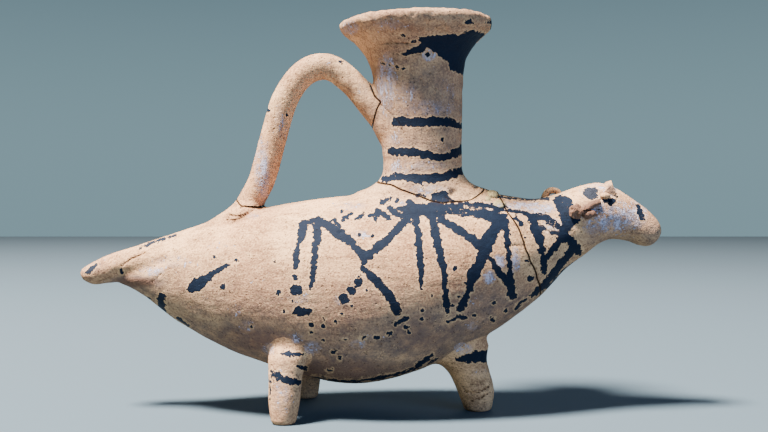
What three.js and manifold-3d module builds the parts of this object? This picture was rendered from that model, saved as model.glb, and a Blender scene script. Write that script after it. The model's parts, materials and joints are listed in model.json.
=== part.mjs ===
// A pouring vessel of fired clay: a hollow bird-shaped body with a ram's head, on three feet,
// with a tall flared neck on its back and a coil handle from the rump to the neck.
// Millimetres, +Z up, +X towards the head. The feet stand on Z = 0, and the origin is under the
// middle of the outline.
import * as THREE from 'three';
import { mergeVertices } from 'three/addons/utils/BufferGeometryUtils.js';
import Module from 'manifold-3d';

// The gap between pieces that touch, and the thickness of the clay.
const SEAT_GAP = 0.3;
const BODY_WALL = 5;
const NECK_WALL = 4.6;

// The animal from tail tip to muzzle: at each station a point on the back, a point under it, and
// half the width. The tail and the head are set by how far they reach beyond the body.
const TAIL_ROOT_X = -95.2;
const TAIL_LENGTH = 24.8;
const BREAST_X = 76;
const HEAD_REACH = 44;
const TAIL_TIP_X = TAIL_ROOT_X - TAIL_LENGTH;
const MUZZLE_X = BREAST_X + HEAD_REACH;

// The tail's stations, with each x measured forward from its tip.
const TAIL_TIP = [0, 56.3];
const TAIL = [
  { back: [1.3, 58.7], under: [1.7, 53.4], half: 3.6 },
  { back: [5.8, 61.2], under: [6.4, 51.9], half: 5.9 },
  { back: [15, 65.2], under: [16, 52.6], half: 7.6 },
];
const BODY = [
  { back: [TAIL_ROOT_X, 68.3], under: [-94, 48], half: 10.6 },
  { back: [-78.7, 73.6], under: [-78.7, 36.6], half: 18.2 },
  { back: [-62, 79.2], under: [-62, 27.4], half: 25.4 },
  { back: [-45.7, 83.2], under: [-45.7, 20.9], half: 30.6 },
  { back: [-22.5, 87.2], under: [-22.5, 13.6], half: 36 },
  { back: [0, 89.4], under: [-3, 11.7], half: 37.8 },
  { back: [22, 90.4], under: [21, 17.2], half: 35.6 },
  { back: [42, 90.4], under: [41, 27.6], half: 30.4 },
  { back: [55, 88.4], under: [57.5, 37.8], half: 24.4 },
  { back: [66.5, 86.8], under: [70, 47.4], half: 18.6 },
  { back: [BREAST_X, 88.6], under: [80.5, 58.7], half: 14.6 },
];
// The head's stations, with each x measured back from the muzzle's tip.
const MUZZLE_TIP = [0, 73.4];
const HEAD = [
  { back: [35, 91.6], under: [31.5, 64.6], half: 12.6 },
  { back: [26.4, 93.4], under: [25.6, 69.1], half: 11.4 },
  { back: [19.6, 91.6], under: [20.6, 70.8], half: 9.8 },
  { back: [12.4, 87.4], under: [14.4, 70], half: 8.2 },
  { back: [6, 82.7], under: [9.4, 68.2], half: 7.8 },
  { back: [2, 78.5], under: [5.2, 67.8], half: 6.9 },
  { back: [0.5, 75.7], under: [2.2, 69.9], half: 4.6 },
];
// The stations of the animal between which it is hollow.
const HOLLOW_FROM = 4.4;
const HOLLOW_TO = 14.2;

// Where the animal's clay is parted, as lines of the side view from top to bottom: the tail's from
// its tip, and the head's from the muzzle.
const TAIL_SEAM = [[24.6, 78], [23.6, 68.4], [21.6, 60], [19.6, 51], [18.6, 42]];
const BREAST_BREAK = [
  [49.5, 96], [52.2, 88], [54, 83.6], [56.2, 79.4], [58.7, 75], [60.8, 69.2], [62.6, 64.6],
  [64.7, 60], [67, 54.4], [68.9, 48.8], [72, 40],
];
const COLLAR_SEAM = [[38.4, 100], [37.2, 91], [36.2, 78], [32.2, 63.6], [30, 55]];

// The neck: where its axis stands at the foot and at the top, and its outer radii and heights.
const NECK_FOOT_X = 21.5;
const NECK_TOP_X = 18.6;
const NECK_FOOT_RADIUS = 25.5;
const NECK_WAIST_RADIUS = 16.1;
const NECK_TOP_RADIUS = 24.7;
const NECK_WAIST_HEIGHT = 102.8;
const NECK_TOP_HEIGHT = 151.2;
// How the neck swells above its waist and below it.
const NECK_TAPER_SHARE = 0.35;
const NECK_FLARE_POWER = 8;
const NECK_FOOT_POWER = 3;
// The foot is narrower across the vessel where it meets the back, and spreads over the flanks as a
// skirt that drops this far.
const NECK_FOOT_HALF_WIDTH = 17.9;
const SKIRT_RADIUS = 29;
const SKIRT_HALF_WIDTH = 22.4;
const SKIRT_DROP = 8.4;
// The collar of clay that stays on the back, up to the crack round the neck's foot.
const COLLAR_RISE = 1.5;

// The rolled lip, as steps out from the neck's top radius and up from the neck's top.
const LIP_OUTSIDE = [[0, 0], [3, 2.2], [5.6, 4.4], [6.7, 6.6], [6.3, 8.4], [4.9, 9.4]];
const LIP_INSIDE = [[2.9, 9.5], [1.2, 8.2], [-0.4, 5.6], [-2.6, 2.6]];
// How far the mouth has sunk towards the handle, as a slope.
const LIP_TILT = 0.035;

// The coil handle's half sizes, and its centre line in the side view: x and the height over the
// back where it rises, then x and the drop below the neck's top where it arches.
const HANDLE_HALF = 5.7;
const HANDLE_HALF_WIDTH = 6.2;
const HANDLE_FOOT_X = -51.6;
const HANDLE_RISE = [[-46.4, 8.8], [-43.9, 15.9]];
const HANDLE_ARCH = [
  [-38, 31.5], [-35, 22.6], [-30, 14.6], [-24, 10.4], [-17.6, 9.6], [-11, 12.2], [-5, 17.6],
];
const HANDLE_JOIN_DROP = 31.2;
const HANDLE_JOIN_DEPTH = 8;
const HANDLE_JOIN_HALF = 9.3;
const HANDLE_SWELL_FROM = 0.86;

// The stub of clay that stays on the neck below the handle's upper end: how far it is under the
// handle's join, and the break over it as steps out from the neck's edge and up from the stub.
const STUB_BELOW_JOIN = 3.4;
const STUB_BREAK = [[0.6, 8.9], [-0.7, 6.6], [-2.8, -0.1], [-5.7, -8.6]];
const STUB_DEPTH = 2.6;
const STUB_HALF_SIZES = [5.6, 7.4, 9.6];

// The break across the handle's foot, and the lump of clay that stays on the back below it.
const ROOT_BREAK = [-54.3, 85.6];
const ROOT_BREAK_SLOPE = -0.27;
const ROOT_X = -55;
const ROOT_HALF_SIZES = [13.6, 9.4, 6.9];
const ROOT_SINK = 1.6;
const ROOT_SLOPE = 0.25;

// A rear leg: half thicknesses from the sole up, with the height of each as a share of the leg's,
// and how far the axis has come in from the foot by there.
const REAR_LEG_HEIGHT = 31;
const REAR_LEG = [
  { at: 0, half: 3.7, shift: 0 },
  { at: 0.03, half: 4.6, shift: 0 },
  { at: 0.14, half: 5.3, shift: 0.2 },
  { at: 0.3, half: 6, shift: 0.7 },
  { at: 0.45, half: 6.2, shift: 1.5 },
  { at: 0.65, half: 6.8, shift: 2.9 },
  { at: 0.84, half: 7.5, shift: 5 },
  { at: 1, half: 6.4, shift: 8.4 },
];
const REAR_LEG_FORWARD = 0.25;
const REAR_RIGHT_FOOT = [-33.1, -30];
const REAR_LEFT_FOOT = [-28.4, 30.4];

// The front leg, whose axis goes back towards the belly instead.
const FRONT_LEG_HEIGHT = 27;
const FRONT_LEG = [
  { at: 0, half: 4.1, shift: 0 },
  { at: 0.03, half: 5.6, shift: 0 },
  { at: 0.13, half: 6.5, shift: 0.2 },
  { at: 0.29, half: 7.5, shift: 0.8 },
  { at: 0.5, half: 8.2, shift: 2.7 },
  { at: 0.63, half: 8.9, shift: 4.5 },
  { at: 0.78, half: 10.4, shift: 7 },
  { at: 1, half: 11.6, shift: 7.6 },
];
const FRONT_FOOT = [44.4, -1];
const LEG_ROOT_HALF = 6;

// What is on the head is placed back from the muzzle. The eyes are a clay pellet on each side.
const EYE_PLACE = [23.1, 88.4];
const EYE_RADIUS = 2.2;
const EYE_SINK = 0.5;

// The horns: a coil laid back along the head from the brow, then a free curl. The right one has
// lost its curl and keeps a rough stump.
const HORN_BASE = [[25.4, 86.8], [29.2, 85], [32.4, 82.8], [35.8, 81]];
const HORN_HALF = 1.8;
const HORN_TIP_HALF = 1.2;
const HORN_STAND = 0.5;
const STUMP_PLACE = [36.6, 81];
const STUMP_HALF_SIZES = [2.5, 2.2, 3.1];
const CURL_CENTRE = [42.8, 87];
const CURL_RADIUS = 4.9;
const CURL_TIP_RADIUS = 3.6;
const CURL_FROM_DEGREES = -70;
const CURL_DEGREES = 300;
const CURL_OUT = 11;
// The share of a whole horn's length from which it thins to its tip.
const HORN_TAPER_FROM = 0.5;

// The crest pinched up between the eyes.
const FORELOCK_FRONT = [18.8, 89.6];
const FORELOCK_BACK = [26.6, 90.4];
const FORELOCK_TIP = [21.6, 94.5];
const FORELOCK_HALF_WIDTH = 5.6;

// Lumps of repair filler where the breast meets the neck's foot: how far forward of the foot and
// to the side each lies, its half sizes, and how deep it is pressed in.
const FILLS = {
  fill_ridge: { ahead: 0.6, side: -2.4, sizes: [3.6, 4.4, 1.5], sink: 0.3 },
  fill_wedge: { ahead: 0, side: -11, sizes: [3.8, 3, 1.9], sink: 0.3 },
  fill_chip: { ahead: 7, side: -13.6, sizes: [2.6, 2.4, 1.6], sink: 0.3 },
};

// How finely the round forms are divided.
const ANIMAL_SIDES = 36;
const RINGS_PER_STATION = 2;
const HOLLOW_SIDES = 24;
const NECK_SIDES = 36;
const NECK_STEPS = 12;
const NECK_FOOT_STEPS = 6;
const LIP_STEPS = 9;
const LEG_SIDES = 20;
const HANDLE_SIDES = 12;
const HANDLE_STEPS = 30;
const HORN_SIDES = 8;
const HORN_STEPS = 24;
const STUMP_STEPS = 8;
const CURL_POINTS = 6;
const LUMP_SIDES = 14;

// Far enough to reach past the whole vessel.
const FAR = 300;
// Corners nearer than this are one.
const MERGE_DISTANCE = 1e-4;
// How many times a search halves its range.
const HALVINGS = 30;

const { lerp, smoothstep, degToRad } = THREE.MathUtils;
const wasm = await Module();
wasm.setup();

// The volume inside a mesh, negative where its faces point inwards.
function signedVolume(position, faces) {
  const corners = [0, 1, 2].map(() => new THREE.Vector3());
  let volume = 0;
  for (let i = 0; i < faces.length; i += 3) {
    corners.forEach((corner, k) => corner.fromBufferAttribute(position, faces[i + k]));
    volume += corners[0].dot(corners[1].cross(corners[2])) / 6;
  }
  return volume;
}

function toSolid(geometry) {
  const bare = geometry.clone();
  bare.deleteAttribute('normal');
  bare.deleteAttribute('uv');
  const merged = mergeVertices(bare, MERGE_DISTANCE);
  const { position } = merged.attributes;
  const faces = Uint32Array.from(merged.index.array);
  if (signedVolume(position, faces) < 0) faces.reverse();
  return new wasm.Manifold(new wasm.Mesh({
    numProp: 3,
    vertProperties: position.array,
    triVerts: faces,
  }));
}

function toGeometry(solid) {
  const mesh = solid.getMesh();
  const geometry = new THREE.BufferGeometry();
  geometry.setAttribute('position', new THREE.BufferAttribute(mesh.vertProperties, 3));
  geometry.setIndex(new THREE.BufferAttribute(mesh.triVerts, 1));
  geometry.computeVertexNormals();
  return geometry;
}

const sideView = ([x, z]) => new THREE.Vector3(x, 0, z);
const fromTail = ([along, z]) => [TAIL_TIP_X + along, z];
const fromMuzzle = ([along, z]) => [MUZZLE_X - along, z];

// A ring lying flat, as a middle and two half axes.
const flatRing = (x, y, z, halfX, halfY = halfX) => ({
  centre: new THREE.Vector3(x, y, z),
  across: new THREE.Vector3(halfX, 0, 0),
  up: new THREE.Vector3(0, halfY, 0),
});

// A closed skin over a row of rings, drawn to a point at each end.
function loft(rings, sides, poles = [rings[0].centre, rings.at(-1).centre]) {
  const points = [];
  for (const { centre, across, up } of rings) {
    for (let i = 0; i < sides; i += 1) {
      const turn = (2 * Math.PI * i) / sides;
      points.push(centre.clone()
        .addScaledVector(across, Math.cos(turn))
        .addScaledVector(up, Math.sin(turn)));
    }
  }
  const pole = points.length;
  const last = pole - sides;
  points.push(...poles);
  const faces = [];
  for (let i = 0; i < sides; i += 1) {
    const next = (i + 1) % sides;
    for (let row = 0; row < last; row += sides) {
      faces.push(row + i, row + next, row + sides + i);
      faces.push(row + next, row + sides + next, row + sides + i);
    }
    faces.push(pole, next, i);
    faces.push(pole + 1, last + i, last + next);
  }
  const geometry = new THREE.BufferGeometry().setFromPoints(points);
  geometry.setIndex(faces);
  return toSolid(geometry);
}

// Everything inside an outline of the side view, right across the vessel.
function slab(outline) {
  const shape = new THREE.Shape(outline.map(([x, z]) => new THREE.Vector2(x, z)));
  const geometry = new THREE.ExtrudeGeometry(shape, { depth: FAR, bevelEnabled: false });
  geometry.rotateX(Math.PI / 2);
  geometry.translate(0, FAR / 2, 0);
  return toSolid(geometry);
}

// An oval lump.
function lump(middle, halfSizes, slope = 0) {
  const geometry = new THREE.SphereGeometry(1, LUMP_SIDES, LUMP_SIDES / 2);
  geometry.scale(...halfSizes);
  geometry.rotateY(-slope);
  geometry.translate(...middle);
  return toSolid(geometry);
}

// The whole animal's stations in place, and smooth lines through them, which are read at a
// station's number or between two.
const placed = (stations, where) => stations.map(({ back, under, half }) => (
  { back: where(back), under: where(under), half }
));
const STATIONS = [...placed(TAIL, fromTail), ...BODY, ...placed(HEAD, fromMuzzle)];
const backLine = new THREE.CatmullRomCurve3(STATIONS.map(({ back }) => sideView(back)));
const underLine = new THREE.CatmullRomCurve3(STATIONS.map(({ under }) => sideView(under)));
const halfLine = new THREE.CatmullRomCurve3(STATIONS.map(({ half }, i) => new THREE.Vector3(i, half, 0)));
const LAST_STATION = STATIONS.length - 1;

function animalRing(station, grow) {
  const t = station / LAST_STATION;
  const back = backLine.getPoint(t);
  const under = underLine.getPoint(t);
  const up = back.clone().sub(under).multiplyScalar(0.5);
  up.setLength(up.length() + grow);
  return {
    centre: back.add(under).multiplyScalar(0.5),
    across: new THREE.Vector3(0, halfLine.getPoint(t).y + grow, 0),
    up,
  };
}

function animalRings(from, to, count, grow) {
  return Array.from({ length: count + 1 }, (_, i) => animalRing(lerp(from, to, i / count), grow));
}

// The solid animal, larger or smaller all over by what it grows.
function animal(grow) {
  const poles = [sideView(fromTail(TAIL_TIP)), sideView(fromMuzzle(MUZZLE_TIP))];
  poles[0].x -= grow;
  poles[1].x += grow;
  return loft(animalRings(0, LAST_STATION, LAST_STATION * RINGS_PER_STATION, grow), ANIMAL_SIDES, poles);
}

const seatedOnAnimal = animal(SEAT_GAP);

// The animal's ring whose plane passes through a place of the side view.
function ringAt(x, z) {
  let low = 0;
  let high = LAST_STATION;
  for (let step = 0; step < HALVINGS; step += 1) {
    const middle = (low + high) / 2;
    const { centre, up } = animalRing(middle, 0);
    if (centre.x + ((z - centre.z) * up.x) / up.z < x) low = middle;
    else high = middle;
  }
  return animalRing(low, 0);
}

// How far the flank stands out at a place of the side view.
function flank(x, z) {
  const { centre, up, across } = ringAt(x, z);
  const rise = Math.min(1, Math.abs(z - centre.z) / up.z);
  return across.y * Math.sqrt(1 - rise * rise);
}

const MIDDLE_HEIGHT = animalRing(LAST_STATION / 2, 0).centre.z;

// The height of the back over a place on the ground.
function backHeight(x, y = 0) {
  const { centre, up, across } = ringAt(x, MIDDLE_HEIGHT);
  return centre.z + up.z * Math.sqrt(1 - (y / across.y) ** 2);
}

// The clay between two seams, with half the seat gap taken off at each.
function between(clay, rear, front) {
  const shift = (line, dx) => [
    [line[0][0] + dx, FAR],
    ...line.map(([x, z]) => [x + dx, z]),
    [line.at(-1)[0] + dx, -FAR],
  ];
  const left = rear ? shift(rear, SEAT_GAP / 2) : [[-FAR, FAR], [-FAR, -FAR]];
  const right = front ? shift(front, -SEAT_GAP / 2) : [[FAR, FAR], [FAR, -FAR]];
  return clay.intersect(slab([...left, ...right.reverse()]));
}

const neckAxis = (z) => lerp(
  NECK_FOOT_X, NECK_TOP_X, (z - NECK_WAIST_HEIGHT) / (NECK_TOP_HEIGHT - NECK_WAIST_HEIGHT),
);

// The neck's outer radius above its waist.
function neckRadius(z) {
  const rise = Math.max(0, (z - NECK_WAIST_HEIGHT) / (NECK_TOP_HEIGHT - NECK_WAIST_HEIGHT));
  const swell = NECK_TAPER_SHARE * rise + (1 - NECK_TAPER_SHARE) * rise ** NECK_FLARE_POWER;
  return lerp(NECK_WAIST_RADIUS, NECK_TOP_RADIUS, swell);
}

// The neck's outer rings from inside the back to the top, larger all over by what it grows.
function neckOutside(grow) {
  const footHeight = backHeight(NECK_FOOT_X);
  const rings = [];
  const addFoot = (z, half, halfWidth) => {
    rings.push(flatRing(NECK_FOOT_X, 0, z, half + grow, halfWidth + grow));
  };
  addFoot(MIDDLE_HEIGHT, SKIRT_RADIUS, SKIRT_HALF_WIDTH);
  for (let i = 0; i < NECK_FOOT_STEPS; i += 1) {
    const fall = 1 - i / NECK_FOOT_STEPS;
    addFoot(
      footHeight - fall * SKIRT_DROP,
      lerp(NECK_FOOT_RADIUS, SKIRT_RADIUS, Math.sqrt(fall)),
      lerp(NECK_FOOT_HALF_WIDTH, SKIRT_HALF_WIDTH, fall * fall),
    );
  }
  for (let i = 0; i < NECK_FOOT_STEPS; i += 1) {
    const fall = 1 - i / NECK_FOOT_STEPS;
    const z = lerp(NECK_WAIST_HEIGHT, footHeight, fall);
    const swell = fall ** NECK_FOOT_POWER;
    addFoot(
      z,
      lerp(NECK_WAIST_RADIUS, NECK_FOOT_RADIUS, swell),
      lerp(NECK_WAIST_RADIUS, NECK_FOOT_HALF_WIDTH, swell),
    );
  }
  for (let i = 0; i <= NECK_STEPS; i += 1) {
    const z = lerp(NECK_WAIST_HEIGHT, NECK_TOP_HEIGHT, Math.sqrt(i / NECK_STEPS));
    rings.push(flatRing(neckAxis(z), 0, z, neckRadius(z) + grow));
  }
  return loft(rings, NECK_SIDES);
}

// The way through the neck and on into the hollow of the body.
function bore() {
  const rings = [flatRing(NECK_FOOT_X, 0, MIDDLE_HEIGHT, NECK_WAIST_RADIUS - NECK_WALL)];
  for (let i = 0; i <= NECK_STEPS; i += 1) {
    const z = lerp(NECK_WAIST_HEIGHT, NECK_TOP_HEIGHT, Math.sqrt(i / NECK_STEPS));
    rings.push(flatRing(neckAxis(z), 0, z, neckRadius(z) - NECK_WALL));
  }
  rings.push(flatRing(NECK_TOP_X, 0, NECK_TOP_HEIGHT + SEAT_GAP, NECK_TOP_RADIUS - NECK_WALL));
  return loft(rings, NECK_SIDES);
}

const solidNeck = neckOutside(0).subtract(bore());
const seatedOnNeck = neckOutside(SEAT_GAP);

function lipRoll() {
  const seat = NECK_TOP_HEIGHT + SEAT_GAP;
  const line = (steps) => new THREE.SplineCurve(
    steps.map(([out, rise]) => new THREE.Vector2(NECK_TOP_RADIUS + out, seat + rise)),
  ).getPoints(LIP_STEPS);
  const profile = [...line(LIP_OUTSIDE), ...line([...LIP_INSIDE, [-NECK_WALL, 0]])];
  const geometry = new THREE.LatheGeometry([...profile, profile[0].clone()], NECK_SIDES);
  geometry.rotateX(Math.PI / 2);
  const { position } = geometry.attributes;
  const height = LIP_OUTSIDE.at(-1)[1];
  for (let i = 0; i < position.count; i += 1) {
    const rise = (position.getZ(i) - seat) / height;
    position.setZ(i, position.getZ(i) + rise * LIP_TILT * position.getX(i));
  }
  geometry.translate(NECK_TOP_X, 0, 0);
  return toSolid(geometry);
}

// A coil of clay along a line. halves gives its half thickness and half width along the way.
function coil(curve, steps, sides, halves) {
  const side = new THREE.Vector3(0, 1, 0);
  const rings = Array.from({ length: steps + 1 }, (_, i) => {
    const along = curve.getTangentAt(i / steps);
    const across = side.clone().addScaledVector(along, -side.dot(along)).normalize();
    const [thick, wide] = halves(i / steps);
    return {
      centre: curve.getPointAt(i / steps),
      up: along.cross(across).multiplyScalar(thick),
      across: across.multiplyScalar(wide),
    };
  });
  return loft(rings, sides);
}

// The break across the handle's foot, as a line of the side view.
function rootBreak(shift) {
  const [x, z] = ROOT_BREAK;
  return [-FAR, FAR].map((dx) => [x + dx, z + dx * ROOT_BREAK_SLOPE + shift]);
}

// The neck's edge on the handle's side.
const neckRear = (z) => neckAxis(z) - neckRadius(z);

const JOIN_HEIGHT = NECK_TOP_HEIGHT - HANDLE_JOIN_DROP;
const STUB_HEIGHT = JOIN_HEIGHT - STUB_BELOW_JOIN;

// Everything on the neck's side of the break under the handle's upper end.
function stubSide(shift) {
  const edge = neckRear(STUB_HEIGHT) + shift;
  const line = STUB_BREAK.map(([out, rise]) => [edge + out, STUB_HEIGHT + rise - shift]);
  return slab([...line, [line.at(-1)[0], MIDDLE_HEIGHT], [FAR, MIDDLE_HEIGHT], [FAR, line[0][1]]]);
}

function handle() {
  const back = backHeight(HANDLE_FOOT_X);
  const points = [
    [HANDLE_FOOT_X, back - HANDLE_HALF / 2],
    ...HANDLE_RISE.map(([x, rise]) => [x, back + rise]),
    ...HANDLE_ARCH.map(([x, drop]) => [x, NECK_TOP_HEIGHT - drop]),
    [neckRear(JOIN_HEIGHT) + HANDLE_JOIN_DEPTH, JOIN_HEIGHT],
  ];
  const curve = new THREE.CatmullRomCurve3(points.map(sideView));
  const whole = coil(curve, HANDLE_STEPS, HANDLE_SIDES, (t) => {
    const swell = smoothstep(t, HANDLE_SWELL_FROM, 1) * (HANDLE_JOIN_HALF - HANDLE_HALF);
    return [HANDLE_HALF + swell, HANDLE_HALF_WIDTH + swell];
  });
  const above = slab([...rootBreak(SEAT_GAP / 2), [FAR, 2 * FAR], [-FAR, 2 * FAR]]);
  return whole.intersect(above).subtract(stubSide(-SEAT_GAP / 2))
    .subtract(seatedOnNeck).subtract(seatedOnAnimal);
}

function handleStub() {
  const middle = [neckRear(STUB_HEIGHT) + STUB_DEPTH, 0, STUB_HEIGHT];
  return lump(middle, STUB_HALF_SIZES).intersect(stubSide(SEAT_GAP / 2)).subtract(seatedOnNeck);
}

function handleRoot() {
  const middle = [ROOT_X, 0, backHeight(ROOT_X) - ROOT_SINK];
  const below = slab([...rootBreak(-SEAT_GAP / 2), [FAR, -2 * FAR], [-FAR, -2 * FAR]]);
  return lump(middle, ROOT_HALF_SIZES, ROOT_SLOPE).intersect(below).subtract(seatedOnAnimal);
}

// A leg from its flat sole into the body, leaning the way that its axis shifts.
function leg([x, y], height, stations, [leanX, leanY]) {
  const rings = stations.map(({ at, half, shift }) => flatRing(
    x + leanX * shift, y + leanY * shift, at * height, half,
  ));
  const top = stations.at(-1).shift + LEG_ROOT_HALF;
  rings.push(flatRing(x + leanX * top, y + leanY * top, MIDDLE_HEIGHT, LEG_ROOT_HALF));
  return loft(rings, LEG_SIDES).subtract(seatedOnAnimal);
}

function eye(side) {
  const [x, z] = fromMuzzle(EYE_PLACE);
  const middle = [x, side * (flank(x, z) - EYE_SINK), z];
  return lump(middle, [EYE_RADIUS, EYE_RADIUS, EYE_RADIUS]).subtract(seatedOnAnimal);
}

// A place on the flank, or further out if the horn has left it.
function onFlank(side, place, out = 0) {
  const [x, z] = fromMuzzle(place);
  return new THREE.Vector3(x, side * Math.max(flank(x, z) + HORN_STAND, out), z);
}

function hornStump() {
  const curve = new THREE.CatmullRomCurve3(HORN_BASE.map((place) => onFlank(-1, place)));
  const ridge = coil(curve, STUMP_STEPS, HORN_SIDES, () => [HORN_HALF, HORN_HALF]);
  const stump = lump(onFlank(-1, STUMP_PLACE).toArray(), STUMP_HALF_SIZES);
  return ridge.add(stump).subtract(seatedOnAnimal);
}

function wholeHorn() {
  const turns = Array.from({ length: CURL_POINTS }, (_, i) => {
    const share = i / (CURL_POINTS - 1);
    const turn = degToRad(CURL_FROM_DEGREES - share * CURL_DEGREES);
    const radius = lerp(CURL_RADIUS, CURL_TIP_RADIUS, share);
    return [CURL_CENTRE[0] - radius * Math.cos(turn), CURL_CENTRE[1] + radius * Math.sin(turn)];
  });
  const base = HORN_BASE.map((place) => onFlank(1, place));
  const curl = turns.map((place) => onFlank(1, place, CURL_OUT));
  const curve = new THREE.CatmullRomCurve3([...base, ...curl]);
  const halves = (t) => Array(2).fill(lerp(HORN_HALF, HORN_TIP_HALF, smoothstep(t, HORN_TAPER_FROM, 1)));
  return coil(curve, HORN_STEPS, HORN_SIDES, halves).subtract(seatedOnAnimal);
}

function forelock() {
  const shape = new THREE.Shape(
    [FORELOCK_BACK, FORELOCK_FRONT, FORELOCK_TIP].map((place) => new THREE.Vector2(...fromMuzzle(place))),
  );
  const geometry = new THREE.ExtrudeGeometry(shape, {
    depth: 2 * FORELOCK_HALF_WIDTH,
    bevelEnabled: false,
  });
  geometry.rotateX(Math.PI / 2);
  geometry.translate(0, FORELOCK_HALF_WIDTH, 0);
  return toSolid(geometry).subtract(seatedOnAnimal);
}

function fill({ ahead, side, sizes, sink }, grow) {
  const x = NECK_FOOT_X + NECK_FOOT_RADIUS + ahead;
  const middle = [x, side, backHeight(x, side) - sink];
  return lump(middle, sizes.map((size) => size + grow));
}

// The filler lumps, each trimmed by what it lies on and by the lumps before it.
function fills() {
  const laid = [];
  return Object.fromEntries(Object.entries(FILLS).map(([name, settings]) => {
    let solid = fill(settings, 0).subtract(seatedOnAnimal).subtract(seatedOnNeck);
    for (const other of laid) solid = solid.subtract(fill(other, SEAT_GAP));
    laid.push(settings);
    return [name, solid];
  }));
}

const CLAY = { color: 0xc9a98a, roughness: 0.9, metalness: 0 };
const PALE_CLAY = { color: 0xd6c3b0, roughness: 0.92, metalness: 0 };
const BROWN_CLAY = { color: 0xb08a6b, roughness: 0.9, metalness: 0 };
const FILLER = { color: 0xded3c8, roughness: 0.95, metalness: 0 };

const vessel = new THREE.Group();

function place(name, solid, finish) {
  const mesh = new THREE.Mesh(toGeometry(solid), new THREE.MeshStandardMaterial(finish));
  mesh.name = name;
  vessel.add(mesh);
}

const solidAnimal = animal(0);
const hollowRings = animalRings(HOLLOW_FROM, HOLLOW_TO, Math.round(HOLLOW_TO - HOLLOW_FROM), -BODY_WALL);
const hollowAnimal = solidAnimal.subtract(loft(hollowRings, HOLLOW_SIDES)).subtract(bore());
const neckCollar = solidNeck.intersect(animal(COLLAR_RISE));
const tailSeam = TAIL_SEAM.map(fromTail);
const collarSeam = COLLAR_SEAM.map(fromMuzzle);
const bodyShell = between(hollowAnimal, tailSeam, BREAST_BREAK);

place('tail', between(solidAnimal, null, tailSeam), CLAY);
place('body_shell', bodyShell.add(neckCollar.subtract(loft(hollowRings, HOLLOW_SIDES))), CLAY);
place('breast_shell', between(hollowAnimal, BREAST_BREAK, collarSeam), CLAY);
place('head', between(solidAnimal, collarSeam, null), PALE_CLAY);
place('neck', solidNeck.subtract(animal(COLLAR_RISE + SEAT_GAP)), CLAY);
place('lip_roll', lipRoll(), CLAY);
place('handle', handle(), CLAY);
place('handle_stub', handleStub(), CLAY);
place('handle_root', handleRoot(), BROWN_CLAY);
place('rear_leg_right', leg(REAR_RIGHT_FOOT, REAR_LEG_HEIGHT, REAR_LEG, [REAR_LEG_FORWARD, 1]), CLAY);
place('rear_leg_left', leg(REAR_LEFT_FOOT, REAR_LEG_HEIGHT, REAR_LEG, [REAR_LEG_FORWARD, -1]), CLAY);
place('front_leg', leg(FRONT_FOOT, FRONT_LEG_HEIGHT, FRONT_LEG, [-1, 0]), CLAY);
place('eye_right', eye(-1), PALE_CLAY);
place('eye_left', eye(1), PALE_CLAY);
place('horn_right', hornStump(), BROWN_CLAY);
place('horn_left', wholeHorn(), PALE_CLAY);
place('forelock', forelock(), PALE_CLAY);
for (const [name, solid] of Object.entries(fills())) place(name, solid, FILLER);

export default vessel;
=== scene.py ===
# %% [markdown]
# # A pouring vessel of painted clay
# The vessel has a hollow bird-shaped body with a ram's head, three stub feet, a tall flared neck and
# a coil handle. It was broken and glued together again. Each piece of clay is a mesh of its own here,
# cut from one skin, so that the surface runs on across a join and only the breaks show.
# All lengths are in metres, and MM turns a size in millimetres into them.

# %% Load the frame
import json
import math

import bpy
import numpy as np
import openvdb
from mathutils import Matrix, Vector

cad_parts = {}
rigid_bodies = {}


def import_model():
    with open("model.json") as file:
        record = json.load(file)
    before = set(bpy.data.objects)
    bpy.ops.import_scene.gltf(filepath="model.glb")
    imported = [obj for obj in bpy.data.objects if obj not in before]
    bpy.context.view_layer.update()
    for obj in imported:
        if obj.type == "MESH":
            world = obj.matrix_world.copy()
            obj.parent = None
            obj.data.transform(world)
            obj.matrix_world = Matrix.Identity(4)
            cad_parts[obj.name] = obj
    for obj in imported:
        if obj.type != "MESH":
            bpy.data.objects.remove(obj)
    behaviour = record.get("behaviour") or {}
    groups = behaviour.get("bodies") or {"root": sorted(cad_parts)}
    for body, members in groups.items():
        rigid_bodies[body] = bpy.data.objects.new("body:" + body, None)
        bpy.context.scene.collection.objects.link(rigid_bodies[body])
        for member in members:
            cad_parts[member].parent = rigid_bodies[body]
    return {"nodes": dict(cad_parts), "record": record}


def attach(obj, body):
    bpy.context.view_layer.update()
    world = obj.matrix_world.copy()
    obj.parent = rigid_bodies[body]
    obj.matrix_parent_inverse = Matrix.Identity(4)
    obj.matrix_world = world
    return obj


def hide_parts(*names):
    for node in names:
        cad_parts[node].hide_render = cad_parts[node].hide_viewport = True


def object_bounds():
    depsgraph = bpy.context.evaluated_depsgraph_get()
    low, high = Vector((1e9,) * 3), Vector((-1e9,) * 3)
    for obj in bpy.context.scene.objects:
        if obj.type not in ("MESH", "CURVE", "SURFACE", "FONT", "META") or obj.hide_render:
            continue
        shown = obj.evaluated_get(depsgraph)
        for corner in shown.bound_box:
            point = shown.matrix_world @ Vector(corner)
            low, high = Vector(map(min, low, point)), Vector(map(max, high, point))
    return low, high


MM = 0.001
for leftover in list(bpy.data.objects):
    bpy.data.objects.remove(leftover)


def new_object(name, data):
    thing = bpy.data.objects.new(name, data)
    bpy.context.collection.objects.link(thing)
    return thing


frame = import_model()
cad_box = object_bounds()
cad_low, cad_high = (np.array(corner) for corner in cad_box)
print("frame", [round(float(side) / MM, 1) for side in cad_high - cad_low], "mm")

# %% [markdown]
# The camera stands level with the vessel's back, half a metre away, with a longish lens. It could be
# placed by eye, but the paint is laid on later by where it is seen from here, so the place is named
# and a helper turns points of the vessel into pixels of the picture, which is 768 pixels wide.

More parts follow.
